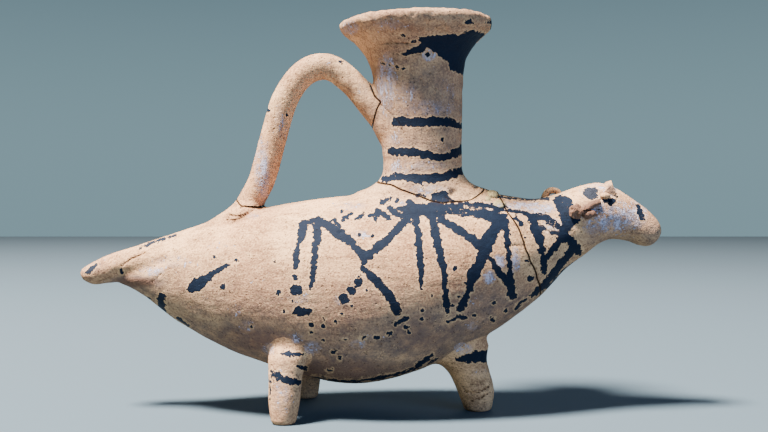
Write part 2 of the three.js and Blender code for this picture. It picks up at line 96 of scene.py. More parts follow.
# %% Camera
PICTURE = np.array([768, 432])
EYE = np.array([5.6, -458, 82.6]) * MM
FOCAL_PIXELS = 1109
HORIZON = 210
SENSOR = 36

camera = new_object("camera", bpy.data.cameras.new("camera"))
camera.data.sensor_width = SENSOR
camera.data.lens = FOCAL_PIXELS * SENSOR / PICTURE[0]
camera.data.clip_start = 0.01
camera.location = EYE
camera.rotation_euler = (math.pi / 2 - math.atan((PICTURE[1] / 2 - HORIZON) / FOCAL_PIXELS), 0, 0)
bpy.context.scene.camera = camera


def pixels(points):
    """Where the camera sees points, in pixels from the picture's top left corner."""
    away = points - EYE
    scale = FOCAL_PIXELS / away[:, 1]
    return np.c_[PICTURE[0] / 2 + away[:, 0] * scale, HORIZON - away[:, 2] * scale]


# %% [markdown]
# Round forms are drawn from a few sizes taken down the vessel. Here is what they share: a smooth line
# through chosen points, a closed tube over a row of rings, and smooth random values in space, which
# stand for what a potter's hands leave in soft clay.

# %% Lines, tubes and soft noise
def through(points, count):
    """A smooth line of count points through the given ones."""
    points = np.asarray(points, float)
    if points.ndim == 1:
        points = points[:, None]
    padded = np.vstack([2 * points[0] - points[1], points, 2 * points[-1] - points[-2]])
    place = np.linspace(0, len(points) - 1, count)
    step = np.minimum(place.astype(int), len(points) - 2)
    t = (place - step)[:, None]
    a, b, c, d = (padded[step + k] for k in range(4))
    return b + t / 2 * (c - a + t * (2 * a - 5 * b + 4 * c - d + t * (3 * (b - c) + d - a)))


def tube(rings, ends=None):
    """A closed skin over rings of points, drawn together at both ends."""
    count, sides, _ = rings.shape
    ends = (rings[0].mean(0), rings[-1].mean(0)) if ends is None else ends
    points = np.vstack([rings.reshape(-1, 3), *ends])
    i = np.arange(sides)
    j = (i + 1) % sides
    faces = []
    for row in np.arange(count - 1) * sides:
        above = row + sides
        faces += [np.c_[row + i, row + j, above + i], np.c_[row + j, above + j, above + i]]
    last = (count - 1) * sides
    first_end, last_end = np.full(sides, last + sides), np.full(sides, last + sides + 1)
    faces += [np.c_[first_end, j, i], np.c_[last_end, last + i, last + j]]
    return points, np.vstack(faces)


def smooth(share):
    share = np.clip(share, 0, 1)
    return share * share * (3 - 2 * share)


NOISE_CELLS = 32


def noise(points, size, seed):
    """Smooth random values from -1 to 1 that change over about one size."""
    values = np.random.default_rng(seed).uniform(-1, 1, (NOISE_CELLS,) * 3)
    place = np.asarray(points) / size + seed
    cell = np.floor(place).astype(int)
    share = smooth(place - cell)
    total = 0
    for corner in np.ndindex(2, 2, 2):
        weight = np.prod(np.where(corner, share, 1 - share), axis=-1)
        total += weight * values[tuple(((cell + corner) % NOISE_CELLS).T)]
    return total


# %% [markdown]
# The animal is one form from tail to muzzle. At each station down its length there is a point on the
# back, a point under it and half the width between the flanks, and oval rings join them.

# %% The animal's form
TAIL_TIP = (-120, 56.3)
MUZZLE_TIP = (120, 73.4)
STATIONS = [  # back x, back z, under x, under z, half width
    (-118.7, 58.7, -118.3, 53.4, 3.6), (-114.2, 61.2, -113.6, 51.9, 5.9),
    (-105, 65.2, -104, 52.6, 7.6), (-95.2, 68.3, -94, 48, 10.6), (-78.7, 73.6, -78.7, 36.6, 18.2),
    (-62, 79.2, -62, 27.4, 25.4), (-45.7, 83.2, -45.7, 20.9, 30.6), (-22.5, 87.2, -22.5, 13.6, 36),
    (0, 89.4, -3, 11.7, 37.8), (22, 90.4, 21, 17.2, 35.6), (42, 90.4, 41, 27.6, 30.4),
    (55, 88.4, 57.5, 37.8, 24.4), (66.5, 86.8, 70, 47.4, 18.6), (76, 88.6, 80.5, 58.7, 14.6),
    (85, 91.6, 88.5, 64.6, 12.6), (93.6, 93.4, 94.4, 69.1, 11.4), (100.4, 91.6, 99.4, 70.8, 9.8),
    (107.6, 87.4, 105.6, 70, 8.2), (114, 82.7, 110.6, 68.2, 7.8), (118, 78.5, 114.8, 67.8, 6.9),
    (119.5, 75.7, 117.8, 69.9, 4.6),
]
WALL = 5 * MM
HOLLOW_SPAN = (4.4, 14.2)  # the stations between which it is hollow


def side_view(x, z, y=0.0):
    return np.stack(np.broadcast_arrays(x, y, z), axis=-1) * MM


def animal(grow=0.0, rings=240, sides=96, span=None):
    """The animal's form, larger or smaller all over by what it grows."""
    fine = through(STATIONS, rings * 2)
    if span:
        place = np.linspace(0, len(STATIONS) - 1, len(fine))
        fine = fine[(place >= span[0]) & (place <= span[1])]
    back, under = side_view(fine[:, 0], fine[:, 1]), side_view(fine[:, 2], fine[:, 3])
    rise = (back - under) / 2
    rise *= 1 + grow / np.linalg.norm(rise, axis=1, keepdims=True)
    half = fine[:, 4] * MM + grow
    turn = np.arange(sides) / sides * 2 * math.pi
    rings = ((back + under) / 2)[:, None] + rise[:, None] * np.sin(turn)[:, None]
    rings[:, :, 1] += half[:, None] * np.cos(turn)
    ends = None if span else (side_view(*TAIL_TIP), side_view(*MUZZLE_TIP))
    return tube(rings, ends)


# %% [markdown]
# Node trees are long to write link by link. A small class wraps a socket, so that a sum in Python adds
# its Math nodes, and one method adds any other node. It serves the shapes here and the finishes later.

# %% Node maths in Python
class Wire:
    """An output socket of a node tree that can be used in Python sums."""

    def __init__(self, tree, socket):
        self.tree, self.socket = tree, socket

    def node(self, kind, settings=None, output=0, **inputs):
        """Adds a node, sets it up, feeds its sockets by name or by _number, and returns an output."""
        node = self.tree.nodes.new(kind)
        for name, value in (settings or {}).items():
            setattr(node, name, value)
        for name, value in inputs.items():
            key = int(name[1:]) if name.startswith("_") else name.replace("_", " ")
            if isinstance(value, Wire):
                self.tree.links.new(value.socket, node.inputs[key])
            elif value is not None:
                node.inputs[key].default_value = value
        return Wire(self.tree, node.outputs[output])

    def maths(self, operation, *values, clamp=False):
        settings = {"operation": operation, "use_clamp": clamp}
        return self.node("ShaderNodeMath", settings, **{f"_{i}": v for i, v in enumerate(values)})

    def __add__(self, other): return self.maths("ADD", self, other)
    def __sub__(self, other): return self.maths("SUBTRACT", self, other)
    def __rsub__(self, other): return self.maths("SUBTRACT", other, self)
    def __mul__(self, other): return self.maths("MULTIPLY", self, other)
    def __truediv__(self, other): return self.maths("DIVIDE", self, other)
    def __pow__(self, other): return self.maths("POWER", self, other)

    def clamped(self):
        return self.maths("ADD", self, 0.0, clamp=True)

    def most(self, other):
        return self.maths("MAXIMUM", self, other)

    def between(self, low, high):
        """0 below low and 1 above high, with a smooth step from one to the other."""
        settings = {"interpolation_type": "SMOOTHSTEP"}
        return self.node("ShaderNodeMapRange", settings, Value=self, From_Min=low, From_Max=high)


# %% [markdown]
# A Geometry Nodes tree that makes a form needs sizes as its inputs and a mesh that its modifier sits on.
# This class sets both up, and hands back the plain mesh that the tree makes.

# %% Shapes from node trees
def settled(thing):
    """The mesh that an object's modifiers make."""
    bpy.context.view_layer.update()
    return bpy.data.meshes.new_from_object(thing.evaluated_get(bpy.context.evaluated_depsgraph_get()))


class Shape:
    """A Geometry Nodes tree with named inputs, set to the sizes it is given."""

    def __init__(self, name, **sizes):
        self.tree = bpy.data.node_groups.new(name, "GeometryNodeTree")
        self.tree.interface.new_socket("Geometry", in_out="INPUT", socket_type="NodeSocketGeometry")
        self.sizes = {}
        for size, value in sizes.items():
            kind = "NodeSocketInt" if isinstance(value, int) else "NodeSocketFloat"
            label = size.replace("_", " ")
            socket = self.tree.interface.new_socket(label, in_out="INPUT", socket_type=kind)
            self.sizes[socket.identifier] = value
        self.tree.interface.new_socket("Geometry", in_out="OUTPUT", socket_type="NodeSocketGeometry")
        source = self.tree.nodes.new("NodeGroupInput")
        self.geometry, *self.values = [Wire(self.tree, socket) for socket in source.outputs[:-1]]

    def finished(self, geometry, base=None):
        """The plain mesh that the tree makes from its base, which is a curve or nothing."""
        thing = new_object(self.tree.name, base or bpy.data.meshes.new(self.tree.name))
        real = geometry.node("GeometryNodeRealizeInstances", Geometry=geometry)
        last = real.node("GeometryNodeSetMaterial", Geometry=real)
        self.tree.links.new(last.socket, self.tree.nodes.new("NodeGroupOutput").inputs[0])
        modifier = thing.modifiers.new(self.tree.name, "NODES")
        modifier.node_group = self.tree
        for identifier, value in self.sizes.items():
            modifier[identifier] = value
        mesh = settled(thing)
        bpy.data.objects.remove(thing)
        bpy.data.node_groups.remove(self.tree)
        return mesh


def read(mesh):
    """A mesh's points and triangles as arrays."""
    points = np.empty(len(mesh.vertices) * 3, np.float32)
    mesh.vertices.foreach_get("co", points)
    mesh.calc_loop_triangles()
    faces = np.empty(len(mesh.loop_triangles) * 3, np.int32)
    mesh.loop_triangles.foreach_get("vertices", faces)
    return points.reshape(-1, 3).astype(float), faces.reshape(-1, 3)


# %% [markdown]
# The neck was thrown on a wheel or drawn up by hand as a tube: narrow at its waist, flared at the
# mouth and spread at the foot over the animal's back. Its outline follows a rule, so Geometry Nodes
# draw it: a plain cylinder whose points are moved out to the radius that their height asks for.

# %% The neck's form
FOOT_X, TOP_X = 21.5 * MM, 18.6 * MM
FOOT_RADIUS, WAIST_RADIUS, TOP_RADIUS = 25.5 * MM, 16.1 * MM, 24.7 * MM
FOOT_HEIGHT, WAIST_HEIGHT, TOP_HEIGHT = 90.4 * MM, 102.8 * MM, 151.2 * MM
FOOT_HALF_WIDTH = 17.9 * MM
SKIRT_RADIUS, SKIRT_HALF_WIDTH, SKIRT_DROP = 29 * MM, 22.4 * MM, 8.4 * MM
CORE_HEIGHT = 55 * MM  # inside the body, where the neck and the legs begin
NECK_WALL = 4.6 * MM
TAPER_SHARE, FLARE_POWER, FOOT_POWER = 0.35, 8, 3


def neck(grow=0.0, foot=(FOOT_RADIUS, FOOT_HALF_WIDTH), skirt=(SKIRT_RADIUS, SKIRT_HALF_WIDTH)):
    shape = Shape(
        "neck", Top_height=TOP_HEIGHT, Waist_height=WAIST_HEIGHT, Foot_height=FOOT_HEIGHT,
        Top_radius=TOP_RADIUS + grow, Waist_radius=WAIST_RADIUS + grow, Foot_radius=foot[0] + grow,
        Foot_half_width=foot[1] + grow, Skirt_radius=skirt[0] + grow,
        Skirt_half_width=skirt[1] + grow, Skirt_drop=SKIRT_DROP, Sides=144, Rings=140,
    )
    (top_height, waist_height, foot_height, top_radius, waist_radius, foot_radius, foot_width,
     skirt_radius, skirt_width, skirt_drop, sides, rings) = shape.values
    tall = TOP_HEIGHT - CORE_HEIGHT
    tin = sides.node("GeometryNodeMeshCylinder", {"fill_type": "TRIANGLE_FAN"},
                     Vertices=sides, Side_Segments=rings, Radius=1.0, Depth=1.0)
    at = tin.node("GeometryNodeInputPosition")
    x, y, z = (at.node("ShaderNodeSeparateXYZ", output=i, Vector=at) for i in range(3))
    height = (z + 0.5) * tall + CORE_HEIGHT
    rise = ((height - waist_height) / (top_height - waist_height)).clamped()
    flare = rise * TAPER_SHARE + rise ** FLARE_POWER * (1 - TAPER_SHARE)
    fall = ((waist_height - height) / (waist_height - foot_height)).clamped() ** FOOT_POWER
    skirt = ((foot_height - height) / skirt_drop).clamped()
    round_part = waist_radius + (top_radius - waist_radius) * flare
    bell, spread_out = skirt ** 0.5, skirt ** 2.0
    half = round_part + (foot_radius - waist_radius) * fall + (skirt_radius - foot_radius) * bell
    across = round_part + (foot_width - waist_radius) * fall + (skirt_width - foot_width) * spread_out
    middle = rise * (TOP_X - FOOT_X) + FOOT_X
    moved = at.node("ShaderNodeCombineXYZ", X=x * half + middle, Y=y * across, Z=height)
    placed = tin.node("GeometryNodeSetPosition", Geometry=tin, Position=moved)
    return read(shape.finished(placed))


# %% [markdown]
# The handle is a finger-thick coil of clay, bent over like a bow and pressed against the neck, where
# it swells. The horns are thin coils of the same kind. One tree makes them all: it sweeps a round
# section along a line and widens or thins it towards the far end.

# %% Coils of clay
TIP_FROM, TIP_SHRINKS = 0.9, 0.8  # a round tip: where it begins along the coil, and how far it narrows


def coil(name, line, thick, end, change_from, round_tip=False):
    """A coil along a line. thick is half its thickness, and changes to end from a share of its length."""
    curve = bpy.data.curves.new(name, "CURVE")
    curve.dimensions = "3D"
    spline = curve.splines.new("POLY")
    spline.points.add(len(line) - 1)
    spline.points.foreach_set("co", np.c_[line, np.ones(len(line))].ravel())
    shape = Shape(name, Thickness=thick, End_thickness=end, Change_from=change_from, Sides=40)
    thickness, end_thickness, change, sides = shape.values
    along = thickness.node("GeometryNodeSplineParameter")
    half = thickness + (end_thickness - thickness) * along.between(change, 1.0)
    if round_tip:
        half = half * (1.0 - along.between(TIP_FROM, 1.0) * TIP_SHRINKS)
    section = half.node("GeometryNodeCurvePrimitiveCircle", Resolution=sides, Radius=1.0)
    swept = half.node("GeometryNodeCurveToMesh", Curve=shape.geometry, Profile_Curve=section,
                      Scale=half, Fill_Caps=True)
    return read(shape.finished(swept, curve))


HANDLE_HALF, HANDLE_JOIN_HALF = 5.35 * MM, 8 * MM
SWELLS_FROM = 0.8  # of the handle's length
HANDLE_LINE = [
    (-55.4, 78), (-50.3, 84.8), (-46.6, 91.2), (-43.9, 97.9), (-38, 119.7), (-35, 128.6), (-30, 136.4),
    (-24, 140.7), (-17.2, 141.3), (-10.7, 137.8), (-4.6, 132), (0.9, 126.2), (11.3, 117),
]
handle_line = through([(x, 0, z) for x, z in HANDLE_LINE], 160) * MM
handle_form = coil("handle", handle_line, HANDLE_HALF, HANDLE_JOIN_HALF, SWELLS_FROM)
print("handle", len(handle_form[1]), "triangles")

# %% [markdown]
# Legs, the lip and lumps of clay are closed forms too. A leg is a stack of flat rings from its sole up
# into the belly. The lip is a profile turned about the neck's axis.

# %% Legs, lip and lumps
LEG_TURN = np.linspace(0, 2 * math.pi, 48, endpoint=False)
LEG_ROOT = 6  # millimetres, the half thickness that a leg runs on with inside the belly


def stack(stations):
    """A form over flat round rings, each with its middle x and y, its height and its radius."""
    x, y, z, half = (np.array(column)[:, None] * MM for column in zip(*stations))
    across, deep = half * np.cos(LEG_TURN), half * np.sin(LEG_TURN)
    return tube(np.stack([x + across, y + deep, z + 0 * LEG_TURN], axis=-1))


def leaning(foot, lean, shift, height, half):
    """A ring of a leg, its middle shifted from the foot's along the way that the leg leans."""
    return foot[0] + lean[0] * shift, foot[1] + lean[1] * shift, height, half


def leg(foot, height, lean, stations):
    """stations: share of the leg's height, half thickness, and how far its axis has shifted."""
    rings = [leaning(foot, lean, shift, at * height, half) for at, half, shift in through(stations, 60)]
    root = leaning(foot, lean, stations[-1][2] + LEG_ROOT, CORE_HEIGHT / MM, LEG_ROOT)
    return stack(rings + [root])


REAR_LEG = [
    (0, 3.7, 0), (0.03, 4.6, 0), (0.14, 5.3, 0.2), (0.3, 6, 0.7), (0.45, 6.2, 1.5), (0.65, 6.8, 2.9),
    (0.84, 7.5, 5), (1, 6.4, 8.4),
]
FRONT_LEG = [
    (0, 4.1, 0), (0.03, 5.6, 0), (0.13, 6.5, 0.2), (0.29, 7.5, 0.8), (0.5, 8.2, 2.7), (0.63, 8.9, 4.5),
    (0.78, 10.4, 7), (1, 11.6, 7.6),
]
LEGS = {
    "rear_leg_right": ((-33.1, -30), 31, (0.25, 1), REAR_LEG),
    "rear_leg_left": ((-28.4, 30.4), 31, (0.25, -1), REAR_LEG),
    "front_leg": ((44.4, -1), 27, (-1, 0), FRONT_LEG),
}


def oval(middle, halves, slope=0.0, sides=48):
    """An oval lump, which can slope in the side view."""
    rise = np.linspace(-1, 1, sides // 2 + 1)[1:-1] * math.pi / 2
    turn = np.linspace(0, 2 * math.pi, sides, endpoint=False)
    rings = np.stack([np.cos(rise)[:, None] * np.cos(turn), np.cos(rise)[:, None] * np.sin(turn),
                      np.sin(rise)[:, None] + 0 * turn], axis=-1)
    ends = [np.array([0, 0, -1.0]), np.array([0, 0, 1.0])]
    lean = np.array([[math.cos(slope), 0, -math.sin(slope)], [0, 1, 0],
                     [math.sin(slope), 0, math.cos(slope)]])
    points, faces = tube(rings, ends)
    return (points * halves @ lean.T + middle) * MM, faces


LIP_OUTSIDE = [(0, 0), (3, 2.2), (5.6, 4.4), (6.7, 6.6), (6.3, 8.4), (4.9, 9.4)]
LIP_INSIDE = [(2.9, 9.5), (1.2, 8.2), (-0.4, 5.6), (-2.6, 2.6), (-4.6, 0)]
LIP_TILT = 0.035
LIP_ROOT, LIP_SUNK = 0.84, 4 * MM  # where its profile starts, within the neck's wall


def turned(profile, sides=160):
    """A form turned about the neck's axis: radius and height, with a mouth sunk towards the handle."""
    turn = np.linspace(0, 2 * math.pi, sides, endpoint=False)
    radius, height = (column[:, None] for column in np.asarray(profile).T)
    x, y, z = radius * np.cos(turn), radius * np.sin(turn), height + 0 * turn
    tilt = np.clip((z - TOP_HEIGHT) / (LIP_OUTSIDE[-1][1] * MM), 0, 2) * LIP_TILT
    return tube(np.stack([x + TOP_X, y, z + tilt * x], axis=-1))


def lip():
    steps = [(TOP_RADIUS + out * MM, TOP_HEIGHT + up * MM) for out, up in [*LIP_OUTSIDE, LIP_INSIDE[0]]]
    return turned([(TOP_RADIUS * LIP_ROOT, TOP_HEIGHT - LIP_SUNK), *through(steps, 40)])


# %% [markdown]
# Wet clay joins leave no sharp inner corners: a potter smooths each one over with a finger. So the
# forms aren't just put together. Each is turned into distances on a fine grid, negative inside, and
# where two forms are near each other their distances melt into one another, which fills the corner.
# A voxel remesh of joined meshes would also give one skin, but with hard corners.

# %% Distance fields
VOXEL = 0.72 * MM
REACH = 9
MARGIN = 4 * MM
first_cell = np.floor((cad_low - MARGIN) / VOXEL).astype(int)
cells = np.ceil((cad_high + MARGIN) / VOXEL).astype(int) - first_cell
GRID = openvdb.createLinearTransform(voxelSize=VOXEL)


def field(form):
    """Distances to a closed form on the whole grid, negative inside."""
    points, faces = form
    grid = openvdb.FloatGrid.createLevelSetFromPolygons(
        points.astype(np.float32), triangles=faces.astype(np.uint32), transform=GRID, halfWidth=REACH)
    values = np.full(cells, REACH * VOXEL, np.float32)
    grid.copyToArray(values, ijk=tuple(int(i) for i in first_cell))
    return values


def melted(a, b, size):
    """Two forms made one, with their inner corner filled to about size."""
    share = np.clip(0.5 + (b - a) / (2 * size), 0, 1)
    return b * (1 - share) + a * share - size * share * (1 - share)


ROOT_MIDDLE, ROOT_HALVES, ROOT_SLOPE = (-55.4, 0, 79.6), (12, 9, 4.7), 0.6
STUB_MIDDLE, STUB_HALVES = (6.8, 0, 117.6), (5.4, 7.4, 8.4)
LUTED = [  # each form, and how large a corner is filled where it joins the rest, in millimetres
    (neck(), 4), (lip(), 1.5), *((leg(*settings), 3.5) for settings in LEGS.values()),
    (oval(ROOT_MIDDLE, ROOT_HALVES, ROOT_SLOPE), 4), (handle_form, 1.3), (oval(STUB_MIDDLE, STUB_HALVES), 2),
]
clay = field(animal())
for form, corner in LUTED:
    clay = melted(clay, field(form), corner * MM)
print("grid", cells, "cells")

# %% [markdown]
# The grid's zero level is the clay's skin. Its points are still on a lattice, so they are relaxed a
# little, and then moved along their normals by what the potter's hands and time have left: a soft
# unevenness, finger strokes along the body, throwing rings on the neck, and creases and pits that are
# named one by one. A crease follows a line of points seen by the camera; it is as deep as it says.

# %% The skin
RELAXINGS = 6
SMOOTHS, SWELLS = 0.5, -0.52  # each smoothing step is undone in part, so the form doesn't shrink


def skin(values):
    """The mesh where distances are zero, as points and four-sided faces."""
    grid = openvdb.FloatGrid(REACH * VOXEL)
    grid.copyFromArray(values, ijk=tuple(int(i) for i in first_cell))
    grid.transform = GRID
    points, faces = grid.convertToQuads()
    return points.astype(float), faces.astype(np.int64)


def neighbours(faces):
    """The two ends of each edge of four-sided faces, both ways round."""
    a, b = faces.ravel(), np.roll(faces, -1, axis=1).ravel()
    return np.r_[a, b], np.r_[b, a]


def gathered(at, vectors, count):
    """The sum of the vectors that belong to each point."""
    return np.stack([np.bincount(at, weights=vectors[:, k], minlength=count) for k in range(3)], axis=1)


def relaxed(points, faces, times):
    ends = neighbours(faces)
    shared = np.bincount(ends[0], minlength=len(points))[:, None]
    for turn in range(2 * times):
        factor = (SMOOTHS, SWELLS)[turn % 2]
        middles = gathered(ends[0], points[ends[1]], len(points)) / shared
        points = points + factor * (middles - points)
    return points


def normals(points, faces):
    a, b, c, d = (points[faces[:, k]] for k in range(4))
    total = gathered(faces.ravel(), np.repeat(np.cross(c - a, d - b), 4, axis=0), len(points))
    return total / np.maximum(np.linalg.norm(total, axis=1, keepdims=True), 1e-12)


skin_points, skin_faces = skin(clay)
skin_points = relaxed(skin_points, skin_faces, RELAXINGS)
skin_normals = normals(skin_points, skin_faces)
if (skin_normals * (skin_points - skin_points.mean(0))).sum() < 0:
    skin_faces = skin_faces[:, ::-1]
    skin_normals = -skin_normals
print("skin", len(skin_points), "points")

# %% [markdown]
# Marks and paint are both placed by lines that the camera sees. These helpers measure how far each
# point lies from such a line, in pixels of the picture. What is on the near flank is repeated on the
# far one through a mirror, where it is asked for, since nobody has seen that side.

# %% Distances to lines that the camera sees
PIXEL = 0.41 * MM
MEASURED = 14  # pixels; further from a line than this its distance isn't needed


def from_line(at, line):
    """How far points of the picture lie outside a line. A third number at each point is its width."""
    line = np.asarray(line, float)
    widths = line[:, 2] if line.shape[1] > 2 else np.zeros(len(line))
    line = line[:, :2]
    out = np.full(len(at), np.inf)
    reach = MEASURED + widths.max()
    near = np.flatnonzero(((at > line.min(0) - reach) & (at < line.max(0) + reach)).all(axis=1))
    for a, b, start, end in zip(line[:-1], line[1:], widths[:-1], widths[1:]):
        share = np.clip(((at[near] - a) @ (b - a)) / max((b - a) @ (b - a), 1e-6), 0, 1)
        gap = np.linalg.norm(at[near] - a - share[:, None] * (b - a), axis=1)
        out[near] = np.minimum(out[near], gap - (start + (end - start) * share) / 2)
    return out


def from_patch(at, corners):
    """How far points of the picture lie outside a patch, negative inside it."""
    corners = np.asarray(corners, float)
    edge = from_line(at, np.vstack([corners, corners[:1]]))
    inside = np.zeros(len(at), bool)
    for a, b in zip(corners, np.roll(corners, -1, axis=0)):
        crosses = (a[1] > at[:, 1]) != (b[1] > at[:, 1])
        with np.errstate(divide="ignore", invalid="ignore"):
            inside ^= crosses & (at[:, 0] < a[0] + (at[:, 1] - a[1]) * (b[0] - a[0]) / (b[1] - a[1]))
    return np.where(inside, -edge, edge)


def folded(points):
    """The same points with the far half laid on the near one."""
    return points * (1, 0, 1) - np.abs(points[:, 1:2]) * (0, 1, 0)


# %% [markdown]
# Now the marks. A finger pressed the tail's sides hollow as it drew the tail out, the front leg's clay
# folded over itself like a sock, and grits fell out and left pits.

# %% Hand marks
HOLLOWS = [  # line of the picture, half width and depth in millimetres
    ([(119, 275), (133, 271.5), (148, 267), (160, 261)], 4.6, 1.3),
    ([(205, 243), (222, 232), (236, 226)], 4, 0.5),
]
CREASES = [
    ([(121, 266), (131, 259), (145, 252.6)], 0.55, 0.6),
    ([(99, 281), (104, 279.5), (110, 277)], 0.5, 0.3),
    ([(151, 283), (156, 279), (162, 273)], 0.6, 0.35),
    ([(378, 44.5), (392, 43.2), (414, 43.4)], 0.45, 0.35),
    ([(393, 53.5), (410, 52.5), (424, 55)], 0.4, 0.2),
    ([(381, 105), (390, 113), (398, 122), (404, 133)], 0.5, 0.3),
    ([(445, 197), (452, 201), (462, 203)], 0.5, 0.3),
    ([(509, 246.6), (515, 245.6), (523, 246)], 0.5, 0.45),
    ([(464, 391), (470, 393.6), (478, 393.3), (489, 387)], 0.6, 0.9),
    ([(470, 402), (480, 399), (490, 392.6)], 0.6, 0.6),
    ([(467, 383), (475, 385), (484, 381.5)], 0.5, 0.3),
    ([(229, 214.5), (238, 216), (249, 212.6)], 0.5, 0.7),
    ([(227, 220), (237, 219.4), (247, 216)], 0.5, 0.55),
    ([(232.5, 223), (238, 218.5), (244.5, 214.5), (253, 210.5)], 0.5, 0.6),
    ([(583.5, 210.8), (596, 209.6), (606, 209.3), (613, 210)], 0.5, 0.45),
]
PITS = [  # place in the picture, radius and depth in millimetres
    (428, 55, 1.5, 0.9), (453.5, 192.5, 1.8, 1.0), (475.5, 187, 1.1, 0.9), (442, 139.5, 0.8, 0.7),
    (373, 238, 0.9, 0.7), (402, 35.6, 0.8, 0.5), (409, 30, 0.6, 0.5), (369, 18, 0.7, 0.5),
    (340, 232, 0.7, 0.5), (413, 15, 0.9, 0.5), (436, 30, 0.7, 0.4), (493, 276, 0.8, 0.5),
    (470, 197, 1.0, 0.5), (248, 327, 0.9, 0.4), (528, 330, 0.8, 0.4), (398, 28, 0.6, 0.4),
]
THROWN_FROM, THROWN_FADE = 96 * MM, 6 * MM
RIM_FROM, RIM_FADE = 150 * MM, 4 * MM
NEAR_SIDE_FADE = 2 * MM
NECK_REACH, NECK_EVENER = 34 * MM, 0.4  # half its width, and how much less uneven the neck is
PIT_EDGE = 1.3  # a pit fades out at this many radii
SMOOTH_SOLE = 1.5 * MM
UNEVEN = [(0.42, 26, 1, 3), (0.14, 9, 1, 5)]  # height and size in millimetres, stretch, seed
STROKED = [(0.07, 3, (0.25, 1, 1), 7), (0.045, 1.9, 1, 9)]
THROWN = [(0.16, 3.2, (0.05, 0.05, 1), 11)]
DENTED, DENTS_SUNK = [(0.5, 6, 1, 13), (0.3, 2.2, 1, 15)], 0.15


def relief(points, layers):
    """Noise of several sizes, added up."""
    return sum(height * noise(points * stretch, size * MM, seed) for height, size, stretch, seed in layers)


def hand_marks(points):
    """How far each point of the skin moves out."""
    on_neck = smooth((points[:, 2] - THROWN_FROM) / THROWN_FADE)
    on_neck = on_neck * (np.abs(points[:, 0] - TOP_X) < NECK_REACH)
    at_rim = smooth((points[:, 2] - RIM_FROM) / RIM_FADE)
    dents = relief(points, DENTED) - DENTS_SUNK
    out = relief(points, UNEVEN) * (1 - NECK_EVENER * on_neck) + relief(points, STROKED)
    out = out + relief(points, THROWN) * on_neck + dents * at_rim
    seen = pixels(points)
    near_side = smooth(-points[:, 1] / NEAR_SIDE_FADE)
    both = pixels(folded(points))
    for line, half, depth in HOLLOWS:
        out -= depth * smooth(1 - from_line(both, line) * PIXEL / (half * MM))
    for line, half, depth in CREASES:
        out -= near_side * depth * smooth(1 - np.abs(from_line(seen, line)) * PIXEL / (half * MM))
    for x, y, radius, depth in PITS:
        gap = np.linalg.norm(seen - (x, y), axis=1) * PIXEL / (radius * MM)
        out -= near_side * depth * smooth(PIT_EDGE - gap)
    return out * MM * smooth(points[:, 2] / SMOOTH_SOLE)


skin_points = skin_points + skin_normals * hand_marks(skin_points)[:, None]
skin_points = np.clip(skin_points, cad_low, cad_high)
print("marks", len(HOLLOWS) + len(CREASES) + len(PITS))

# %% [markdown]
# The skin is cut into the pieces that the vessel is made of. A boolean is the right tool: both sides of
# a cut share one surface, so a luted join can't be seen. A break is different: its two faces are rough,
# and a hair's breadth of dark shows between them, so the cutting surface is rough and a gap is left.

# %% Cutting tools
CRACK = 0.3 * MM
FAR = 0.3
SKIN_DEPTH = 1.2 * MM
GRAIN, LUMPS, LUMPS_SHARE = 2.4 * MM, 7 * MM, 1.6


def solid(name, points, faces):
    """A mesh object of a closed form, with its faces pointing out."""
    mesh = bpy.data.meshes.new(name)
    mesh.from_pydata(points.tolist(), [], [list(face) for face in faces])
    at, corners = read(mesh)
    a, b, c = (at[corners[:, k]] for k in range(3))
    if (a * np.cross(b, c)).sum() < 0:
        mesh.flip_normals()
    mesh.update()
    return new_object(name, mesh)


def cut(name, base, add=(), keep=(), drop=()):
    """A new piece: base with solids added, then only what is in those to keep, less those to drop."""
    piece = new_object(name, base.data.copy())
    for operation, others in (("UNION", add), ("INTERSECT", keep), ("DIFFERENCE", drop)):
        for other in others:
            modifier = piece.modifiers.new(operation, "BOOLEAN")
            modifier.operation, modifier.object, modifier.solver = operation, other, "MANIFOLD"
    mesh = settled(piece)
    piece.modifiers.clear()
    piece.data = mesh
    mesh.name = name
    return piece


def beyond(name, axis, sheet, spacing=1.5 * MM, low=-0.16, high=0.2):
    """Everything on the far side, along X (0) or Z (2), of a sheet given as a height over the rest."""
    others = [k for k in range(3) if k != axis]
    u, v = np.meshgrid(np.arange(low, high, spacing), np.arange(low, high, spacing), indexing="ij")
    flat = np.zeros((u.size, 3))
    flat[:, others[0]], flat[:, others[1]] = u.ravel(), v.ravel()
    flat[:, axis] = sheet(flat[:, others[0]], flat[:, others[1]])
    back = flat.copy()
    back[:, axis] = FAR
    rows, columns = u.shape
    at = np.arange(u.size).reshape(rows, columns)
    faces = [np.stack([at[:-1, :-1], at[1:, :-1], at[1:, 1:], at[:-1, 1:]], axis=-1).reshape(-1, 4)]
    faces.append(faces[0][:, ::-1] + u.size)
    rim = np.r_[at[:-1, 0], at[-1, :-1], at[:0:-1, -1], at[0, :0:-1]]
    ahead = np.roll(rim, -1)
    faces.append(np.c_[ahead, rim, rim + u.size, ahead + u.size])
    return solid(name, np.vstack([flat, back]), np.vstack(faces))


def prism(name, outline, half=60 * MM):
    """Everything inside an outline of the side view, right across."""
    corners = np.asarray(outline, float)
    ring = side_view(corners[:, 0], corners[:, 1])
    count = len(ring)
    walls = [(i, (i + 1) % count, (i + 1) % count + count, i + count) for i in range(count)]
    sides = [range(count)[::-1], range(count, 2 * count)]
    return solid(name, np.vstack([ring - (0, half, 0), ring + (0, half, 0)]), walls + sides)


def line_at(points, value):
    """Reads a line of (where, height) pairs in millimetres."""
    where, height = np.asarray(points, float).T * MM
    return np.interp(value, where, height)


